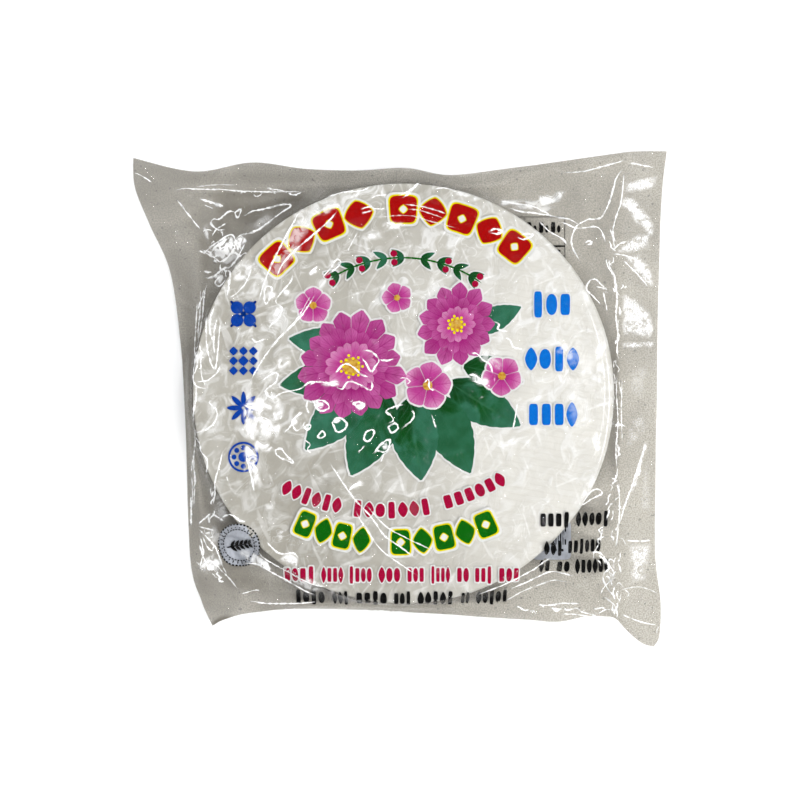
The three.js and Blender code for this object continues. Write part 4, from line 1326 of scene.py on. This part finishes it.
inks = {  # colour, and the same a little darker
    "red": ((0.35, 0.0, 0.0), (0.29, 0.0, 0.0)),
    "yellow": ((0.70, 0.62, 0.0), (0.64, 0.55, 0.0)),
    "white": ((0.68, 0.68, 0.675), (0.64, 0.64, 0.635)),
    "blue": ((0.0, 0.045, 0.33), (0.0, 0.036, 0.28)),
    "azure": ((0.0, 0.14, 0.56), (0.0, 0.12, 0.50)),
    "crimson": ((0.33, 0.0, 0.035), (0.28, 0.0, 0.027)),
    "green": ((0.0, 0.115, 0.0), (0.0, 0.09, 0.0)),
    "black": ((0.001, 0.001, 0.001), (0.003, 0.003, 0.003)),
    "gold": ((0.55, 0.34, 0.05), (0.42, 0.17, 0.015)),
    "paleBlue": ((0.46, 0.485, 0.54), (0.41, 0.43, 0.48)),
}

depths = {"top": 0.06, "ink": 0.12, "edge": 0.22, "halo": 0.34, "low": 0.46}  # below the film


def onLine(centre, turn=0.0):  # a place on a straight line: s to the right, t up, both turned
    cx, cy = centre
    return lambda s, t: (cx + s * np.cos(turn) - t * np.sin(turn), cy + s * np.sin(turn) + t * np.cos(turn))


def onArc(centre, radius, degrees, bend=1):  # a place on an arc: s along it to the right, t up from it
    cx, cy = centre
    middle = np.radians(degrees)
    return lambda s, t: (cx + (radius + bend * t) * np.cos(middle - bend * s / radius),
                         cy + (radius + bend * t) * np.sin(middle - bend * s / radius))


def moved(place, ds, dt, turn=0.0):  # a place within a place
    return lambda s, t: place(ds + s * np.cos(turn) - t * np.sin(turn),
                              dt + s * np.sin(turn) + t * np.cos(turn))


sheets = {}  # the patches of each printed piece, before they are joined


def keepPatch(sheet, x, y, depth, faceGroups, blade=None):
    sheets.setdefault(sheet, []).append((np.ravel(x), np.ravel(y), np.full(x.size, depth), faceGroups, blade))


def roundPatch(sheet, place, halfWidth, halfHeight, power=2.0, depth=depths["ink"], grow=0.0):
    # rings of |s/a|^p + |t/b|^p = 1 from the middle out: p of 2 is an oval, 1 a lozenge, 5 a block
    a, b = halfWidth + grow, halfHeight + grow
    count = int(np.clip(4 * (a + b), 20, 72)) // 4 * 4
    angle = np.linspace(0, 2 * np.pi, count, endpoint=False)
    s = a * np.sign(np.cos(angle)) * np.abs(np.cos(angle)) ** (2 / power)
    t = b * np.sign(np.sin(angle)) * np.abs(np.sin(angle)) ** (2 / power)
    rings = np.linspace(0, 1, max(int(max(a, b) / 0.9), 1) + 1)[1:, None]
    s, t = np.vstack([rings * s, np.zeros((1, count))]), np.vstack([rings * t, np.zeros((1, count))])
    x, y = place(s.ravel()[: rings.size * count + 1], t.ravel()[: rings.size * count + 1])
    pole, first = np.full(count, rings.size * count), np.arange(count)
    fan = np.column_stack([pole, first, np.roll(first, -1)])
    faces = [gridFaces(rings.size, count, True)[:, ::-1], fan]
    keepPatch(sheet, x, y, depth, [f for f in faces if len(f)])


def ringPatch(sheet, place, radius, halfWidth, depth=depths["ink"]):
    angle = np.linspace(0, 2 * np.pi, 72, endpoint=False)
    reach = np.array([radius - halfWidth, radius + halfWidth])[:, None]
    x, y = place((reach * np.cos(angle)).ravel(), (reach * np.sin(angle)).ravel())
    keepPatch(sheet, x, y, depth, [gridFaces(2, 72, True)[:, ::-1]])


def bladePatch(sheet, place, length, width, fullest=0.75, curve=0.0, depth=depths["ink"], grow=0.0, wedge=0.0,
               tone=0.0, nicks=0.0):
    # a petal or leaf along s: half as wide as width times the sine of pi times (share of length)^fullest,
    # no wider than a wedge from its foot allows, and with its spine bent by the square of that share
    along = np.linspace(0, 1, max(int(length / 0.9), 8))[:, None]
    across = np.linspace(-1, 1, max(int(width / 1.1), 4) + 1)[None]
    half = 0.5 * width * np.sin(np.pi * np.clip(along, 0.012, 0.992) ** fullest) ** 0.8
    half = half * (1 + nicks * np.abs(np.sin(9 * np.pi * along)))
    if wedge:
        half = np.minimum(half, wedge * length * along + 0.02)
    s = along * (length + 2 * grow) - grow + 0 * across
    t = across * (half + grow) + curve * length * along**2
    x, y = place(s, t)
    shares = (np.broadcast_to(share, s.shape).ravel() for share in (along, across))
    blade = np.column_stack([*shares, np.full(s.size, tone)])
    keepPatch(sheet, x, y, depth, [gridFaces(*s.shape)[:, ::-1]], blade)


def printLevel(x, y, depth):  # the film's height without its ridges, less the depth, and lower off the stack
    return filmLevel(x, y) - depth - 0.25 * smoothStep(np.hypot(x, y), 108, 114)


def backLevel(x, y, depth):  # just above the lower film, and a little more where it leaves the stack
    return backFilmLevel(x, y) + 0.13 - 0.25 * depth + 0.15 * smoothStep(np.hypot(x, y), 103, 112)


def makePrint(sheet, material, level):  # joins a sheet's patches in one mesh, at the height of level(x, y)
    patches = sheets[sheet]
    starts = np.cumsum([0] + [len(p[0]) for p in patches])
    x, y, depth = (np.concatenate([p[k] for p in patches]) for k in range(3))
    faces = [f + start for p, start in zip(patches, starts) for f in p[3]]
    piece = meshFrom(sheet, np.column_stack([x, y, level(x, y, depth)]), faces)
    if patches[0][4] is not None:
        storeValue(piece, "blade", np.vstack([p[4] for p in patches]))
    piece.data.materials.append(material)
    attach(piece, "root")


# the arched row over the top and the one under the posy: edged blocks and lozenges, no lettering;
# "groups" holds the degrees that each group runs from and to, and how many blocks it has

titleRow = {"centre": (0.0, 0.0), "radius": 96.5, "height": 14.2,
            "groups": [(138.0, 99.0, 4), (94.5, 48.0, 5)]}
lowerRow = {"centre": (-3.6, 45.7), "radius": 123.9, "height": 12.6,
            "groups": [(-115.0, -96.0, 4), (-91.5, -65.0, 5)]}
blockLook = {"gap": 1.8, "edge": 0.75, "white": 1.9, "hole": 1.9, "rim": 0.6}


def edgedBlock(name, place, halfWidth, halfHeight, power):
    roundPatch(f"{name}_blocks", place, halfWidth, halfHeight, power)
    roundPatch(f"{name}_edges", place, halfWidth, halfHeight, power, depths["edge"], blockLook["edge"])
    roundPatch("white_backing", place, halfWidth, halfHeight, power, depths["halo"], blockLook["white"])


def holeInBlock(name, place):
    size = blockLook["hole"]
    roundPatch("white_marks", place, size, size, 1.3, depths["top"] - 0.02)
    roundPatch(f"{name}_rims", place, size, size, 1.3, depths["top"], blockLook["rim"])


def blockRow(name, row, bend):
    for first, last, count in row["groups"]:
        step = (last - first) / count
        for k in range(count):
            place = onArc(row["centre"], row["radius"], first + step * (k + 0.5), bend)
            half = (abs(np.radians(step)) * row["radius"] - blockLook["gap"]) / 2
            if k % 2 == 0:
                edgedBlock(name, place, half, row["height"] / 2, 5.0)
                holeInBlock(name, place)
            else:
                edgedBlock(name, place, half * 1.02, row["height"] / 2, 1.35)


blockRow("title", titleRow, 1)
blockRow("lower", lowerRow, -1)

# rows of small strokes, uneven as hand-cut type is

strokes = {
    "seed": 12,
    "halo": 0.75,  # how far the white behind a mark shows round it
    "haloed": ("crimson_arc", "crimson_row", "azure_rows"),
    "arcCentre": (-9.0, 58.0),
    "arcRadius": 119.5,
    "arcHeight": 8.8,
    "arcWords": [(-117, -101, 6), (-98.5, -78.5, 7), (-75.5, -58.5, 6)],  # degrees from and to, marks
}

straightRows = {  # left, right, middle and height of each word, and its marks
    "crimson_row": [(left, right, -95.4, 9.2, count) for left, right, count in (
        (-62.9, -46, 4), (-43, -31, 4), (-28.5, -16, 4), (-13, -1, 3), (2, 11.5, 3), (14.5, 25, 4),
        (28, 35, 2), (37.5, 47, 3), (50, 61.5, 3))],
    "black_row": [(left, right, -108.2, 8.6, count) for left, right, count in (
        (-57.5, -41, 4), (-37.5, -28.5, 3), (-25, -8, 4), (-5, 4.5, 3), (7.5, 27, 5), (30.5, 35.5, 2),
        (38.5, 56, 5))],
    "black_rows_right": [
        (71.6, 88, -66.6, 8.6, 4), (91, 109.6, -66.6, 8.6, 5), (73.8, 84, -81.4, 8.2, 3),
        (86.5, 105.8, -81, 8.4, 6), (71.8, 78.5, -91.6, 7.8, 2), (81, 88.5, -91.6, 7.4, 2),
        (91, 110.4, -91.8, 8.8, 6)],
    "azure_rows": [(67.4, 88.8, 46.5, 13.8, 3), (63.6, 93.0, 17.9, 13.0, 4), (65.2, 92.0, -11.2, 14.0, 4)],
}


def strokeWord(sheet, place, width, height, count, draw):
    # a row of plain marks that stand alone: tall bars, short bars, lozenges and discs
    pitch = width / count
    for k in range(count):
        spot = moved(place, -width / 2 + pitch * (k + 0.5), 0)
        kind = (k + draw.integers(3)) % 4
        a, b, power = ((0.29 * pitch, 0.50 * height, 5.0), (0.44 * pitch, 0.46 * height, 1.5),
                       (0.35 * pitch, 0.40 * height, 5.0), (0.41 * pitch, 0.40 * height, 2.2))[kind]
        roundPatch(sheet, spot, a, b, power)
        if sheet in strokes["haloed"]:
            roundPatch("white_backing", spot, a, b, power, depths["halo"], strokes["halo"])


def makeStrokeRows():
    draw = np.random.default_rng(strokes["seed"])
    radius = strokes["arcRadius"]
    for first, last, count in strokes["arcWords"]:
        place = onArc(strokes["arcCentre"], radius, (first + last) / 2, -1)
        strokeWord("crimson_arc", place, np.radians(last - first) * radius, strokes["arcHeight"], count, draw)
    for sheet, words in straightRows.items():
        for left, right, middle, height, count in words:
            strokeWord(sheet, onLine(((left + right) / 2, middle)), right - left, height, count, draw)


makeStrokeRows()

# four old ornaments down the left side

ornaments = {"x": -83.6, "y": (41.5, 16.9, -7.8, -33.5), "size": 7.6}


def atTurn(place, reach, turn, spin=0.0):  # a place round the middle of another
    return moved(place, reach * np.cos(turn), reach * np.sin(turn), spin)


def makeOrnaments():
    sheet, size = "blue_ornaments", ornaments["size"]
    quarter, lattice, star, fret = (onLine((ornaments["x"], y)) for y in ornaments["y"])
    for k in range(4):
        turn = np.pi / 2 * k + np.pi / 4
        roundPatch(sheet, atTurn(quarter, size * 0.62, turn), 3.3, 3.3)
        roundPatch(sheet, moved(quarter, 0, 0, turn), size * 1.25, 0.8, 5.0, depths["edge"])
    roundPatch(sheet, fret, 2.6, 2.6)
    ringPatch(sheet, fret, size * 0.98, 0.55)
    for k in range(8):
        turn = np.pi / 4 * k
        roundPatch(sheet, atTurn(star, size * 0.62, turn, turn), 4.0, 1.35, 1.7)
        roundPatch(sheet, atTurn(fret, size * 0.64, turn), 1.35, 1.35)
    for row in (-1, 0, 1):
        for column in (-1, 0, 1):
            reach = 2.7 if row == column == 0 else 2.3
            roundPatch(sheet, moved(lattice, column * size * 0.68, row * size * 0.68), reach, reach, 1.15)


makeOrnaments()

# the posy in the middle: two round many-petalled blossoms set aslant, small five-petalled ones, a fan of
# pointed leaves under them and a low arch of small leaves and berries over them

posy = {
    "blossoms": [((-27, 14), 28.0, 0.2, 16), ((28, 36), 21.0, 0.5, 13)],  # middle, radius, turn, petals
    "petalLayers": [(1.0, 0.42, "petals_outer"), (0.74, 0.34, "petals_middle"), (0.47, 0.24, "petals_inner")],
    "stars": [((-47, 46), 9.5, 0.3), ((13, 4), 12.5, 0.1), ((52, 9), 10.5, 0.9), ((-3, 50), 8.0, 0.6)],
    "leaves": [  # foot, direction in degrees, length, width, bend, tone
        ((-20, 22), 166, 40, 17, 0.08, 0.3),
        ((-22, 12), 194, 43, 19, -0.06, 0.9),
        ((-18, 4), 222, 47, 22, 0.06, 0.2),
        ((-8, 0), 249, 47, 24, -0.05, 0.8),
        ((4, -2), 275, 44, 24, 0.04, 0.3),
        ((14, 0), 300, 47, 23, -0.05, 1.0),
        ((24, 6), 325, 44, 21, 0.06, 0.3),
        ((32, 14), 350, 32, 16, -0.08, 0.8),
        ((34, 34), 16, 30, 13, 0.1, 0.3),
    ],
    "garland": {"radius": 71.0, "first": 122.0, "last": 57.0, "pairs": 9},
}


def blossom(centre, radius, turn, count):  # three rings of petals, each turned by half a petal on the last
    wedge = np.tan(np.pi / count) * 0.97
    for layer, (reach, width, sheet) in enumerate(posy["petalLayers"]):
        depth, breadth = depths["halo"] - 0.08 * (layer + 1), radius * width * 1.25
        for k in range(count):
            length = radius * reach * (1 + 0.07 * np.sin(5.3 * k + 2 * layer + centre[0]))
            place = onLine(centre, turn + 2 * np.pi * (k + 0.5 * layer) / count)
            tone = 0.5 + 0.5 * np.sin(3.7 * k)
            bladePatch(sheet, place, length, breadth, 1.5, 0.0, depth, wedge=wedge, tone=tone)
            if layer == 0:
                bladePatch("petal_backing", place, length, breadth, 1.5, 0.0, depths["low"], 0.8)
    roundPatch("blossom_centres", onLine(centre), radius * 0.17, radius * 0.17, 2.0, depths["top"])
    for k in range(14):
        seed = atTurn(onLine(centre), radius * (0.155 if k % 2 else 0.21), 2 * np.pi * k / 14)
        roundPatch("blossom_seeds", seed, 0.75, 0.75, 2.0, depths["top"] - 0.03)


def starBlossom(centre, radius, turn):  # five broad petals that just meet
    for k in range(5):
        place = onLine(centre, turn + 2 * np.pi * k / 5)
        tone = 0.5 + 0.5 * np.sin(2.4 * k)
        depth, breadth = depths["edge"] - 0.03, radius * 0.95
        bladePatch("petals_inner", place, radius, breadth, 1.7, 0.0, depth, wedge=0.70, tone=tone)
        bladePatch("petal_backing", place, radius, breadth, 1.7, 0.0, depths["halo"], 0.8)
    roundPatch("blossom_centres", onLine(centre), radius * 0.2, radius * 0.2, 2.0, depths["top"])


def garland(radius, first, last, pairs):  # a low arch of paired small leaves with berries between them
    arch = onArc((0.0, 0.0), radius, (first + last) / 2)
    half = np.radians(first - last) * radius / 2
    for k in range(24):
        bladePatch("stems", moved(arch, -half + half * k / 12, 0), half / 6, 1.0, 0.5, 0.0, depths["edge"])
    for k in range(pairs):
        s = -half + 2 * half * (k + 0.5) / pairs
        away = 1 if s > 0 else -1
        for side in (-1, 1):
            spot = moved(arch, s, 0, side * 0.62 if away > 0 else np.pi - side * 0.62)
            tone = 0.5 + 0.5 * np.sin(3 * k + side)
            bladePatch("small_leaves", spot, 7.8, 3.1, 0.75, 0.0, depths["edge"] - 0.04, tone=tone)
            bladePatch("leaf_backing", spot, 7.8, 3.1, 0.75, 0.0, depths["low"], 0.7)
        if k % 2 == 0:
            for side in (-1, 1):
                spot = moved(arch, s + away * 5.2, side * 2.3)
                roundPatch("berries", spot, 1.75, 1.75)
                roundPatch("white_backing", spot, 1.75, 1.75, 2.0, depths["halo"], 0.6)


def makePosy():
    for centre, radius, turn, count in posy["blossoms"]:
        blossom(centre, radius, turn, count)
    for centre, radius, turn in posy["stars"]:
        starBlossom(centre, radius, turn)
    for k, (foot, degrees, length, width, curve, tone) in enumerate(posy["leaves"]):
        place = onLine(foot, np.radians(degrees))
        depth = depths["halo"] + 0.012 * k  # each leaf lies a little under the one before
        bladePatch("leaves", place, length, width, 0.85, curve, depth, tone=tone, nicks=0.05)
        bladePatch("leaf_backing", place, length, width, 0.85, curve, depths["low"] + 0.03, 0.8, nicks=0.05)
    garland(**posy["garland"])


makePosy()

# the round mark at the lower left: a plain disc with two dashed rings, ticks between them and a twig

mark = {
    "middle": (-86.6, -80.3),
    "radius": 11.7,
    "rings": [(11.5, 40, 0.42), (8.7, 34, 0.3)],  # radius, dashes, half their breadth
    "ticks": 26,
    "tickReach": 9.8,
    "twigLeaves": (0.16, 0.34, 0.52, 0.70, 0.86),  # places along the twig
}


def makeRoundMark():
    middle = onLine(mark["middle"])
    roundPatch("mark_disc", middle, mark["radius"], mark["radius"], 2.0, depths["low"] + 0.3)
    for radius, count, half in mark["rings"]:
        for k in range(count):
            turn = 2 * np.pi * k / count
            spot = atTurn(middle, radius, turn, turn + np.pi / 2)
            roundPatch("mark_lines", spot, radius * np.pi / count * 0.66, half, 4.0)
    for k in range(mark["ticks"]):
        turn = 2 * np.pi * k / mark["ticks"]
        tall = 0.55 + 0.25 * np.sin(7.0 * k)
        roundPatch("mark_lines", atTurn(middle, mark["tickReach"], turn, turn), tall, 0.28, 3.0)
    bladePatch("mark_twig", moved(middle, -7.0, -1.8, 0.2), 14.5, 0.9, 0.5, 0.05)
    for share in mark["twigLeaves"]:
        for side in (-1, 1):
            spot = moved(middle, -7.0 + 14.0 * share, -1.8 + 3.0 * share, side * 0.8 + 0.2)
            bladePatch("mark_twig", spot, 4.6 - 1.6 * share, 1.7, 0.75, 0.0)


makeRoundMark()

# the lower film's print, which shows past the stack's edge: a ruled table and a small label

table = {
    "seed": 3,
    "left": 24.0,
    "right": 86.7,
    "top": 94.3,
    "rowStep": 5.2,
    "rows": 22,
    "line": 0.16,  # half a rule's breadth
    "thickRules": (3, 9),
    "noRules": (1, 2),  # the heading is three rows high
}
label = {"middle": (79.5, -78.5), "half": 10.5, "bars": 13, "barStep": 1.25, "marks": 4, "markStep": 3.6}


def makeTable(draw):
    sheet = "back_table"
    left, right, top, step = (table[key] for key in ("left", "right", "top", "rowStep"))
    low = top - step * table["rows"]
    for x in (left, right):
        roundPatch(sheet, onLine((x, (top + low) / 2)), table["line"], (top - low) / 2, 9.0)
    for k in range(table["rows"] + 1):
        if k not in table["noRules"]:
            thick = table["line"] * (3.2 if k in table["thickRules"] else 1.0)
            roundPatch(sheet, onLine(((left + right) / 2, top - k * step)), (right - left) / 2, thick, 9.0)
    for k in range(3):
        roundPatch(sheet, onLine((right - 6.2 - 6.4 * k, top - 5.6)), 1.15, 2.9, 5.0)
        roundPatch(sheet, onLine((right - 3.2 - 6.4 * k, top - 6.4)), 0.95, 2.0, 2.0)
    for k in range(3, table["rows"]):
        for m in range(5):
            span = 1.5 + 2.5 * draw.random()
            roundPatch(sheet, onLine((right - 4.0 - 8.4 * m, top - (k + 0.5) * step)), span, 0.75, 5.0)


def makeLabel(draw):
    roundPatch("back_label", onLine(label["middle"]), label["half"], label["half"], 9.0)
    for k in range(label["bars"]):
        half = 0.18 + 0.32 * draw.random()
        roundPatch("back_bars", onLine((72.0 + label["barStep"] * k, -76.5)), half, 4.6, 9.0, depths["top"])
    for k in range(label["marks"]):
        roundPatch("back_bars", onLine((74.0 + label["markStep"] * k, -84.0)), 1.3, 0.7, 5.0, depths["top"])


def makeBackPrint():
    draw = np.random.default_rng(table["seed"])
    makeTable(draw)
    makeLabel(draw)


makeBackPrint()

# the inks of petals and leaves, and which ink each piece is printed with

shadedInks = {  # colour at the foot, in the middle, at the tip and on the veins, and how patchy
    "petal": ((0.16, 0.001, 0.06), (0.30, 0.010, 0.155), (0.47, 0.10, 0.31), (0.18, 0.002, 0.09), 0.0),
    "inner petal": ((0.23, 0.003, 0.09), (0.43, 0.042, 0.25), (0.60, 0.25, 0.45), (0.27, 0.006, 0.14), 0.0),
    "leaf": ((0.0, 0.028, 0.002), (0.002, 0.062, 0.008), (0.040, 0.175, 0.115), (0.03, 0.13, 0.06), 0.75),
}

frontSheets = {
    "title_blocks": "red", "title_edges": "yellow", "title_rims": "yellow",
    "lower_blocks": "green", "lower_edges": "yellow", "lower_rims": "yellow",
    "white_backing": "white", "white_marks": "white",
    "crimson_arc": "crimson", "crimson_row": "crimson", "black_row": "black", "black_rows_right": "black",
    "azure_rows": "azure", "blue_ornaments": "blue",
    "petals_outer": "petal", "petals_middle": "petal", "petals_inner": "inner petal",
    "petal_backing": "white", "blossom_centres": "gold", "blossom_seeds": "yellow",
    "leaves": "leaf", "leaf_backing": "white", "stems": "green", "small_leaves": "leaf", "berries": "crimson",
    "mark_disc": "paleBlue", "mark_lines": "black", "mark_twig": "black",
}

backSheets = {"back_table": "black", "back_label": "paleBlue", "back_bars": "black"}


def printAll():
    ink = {name: inkMaterial(f"{name} ink", *colors) for name, colors in inks.items()}
    for name, look in shadedInks.items():
        ink[name] = shadedInk(f"{name} ink", *look)
    for sheet, name in frontSheets.items():
        makePrint(sheet, ink[name], printLevel)
    for sheet, name in backSheets.items():
        makePrint(sheet, ink[name], backLevel)


printAll()
print("print laid")
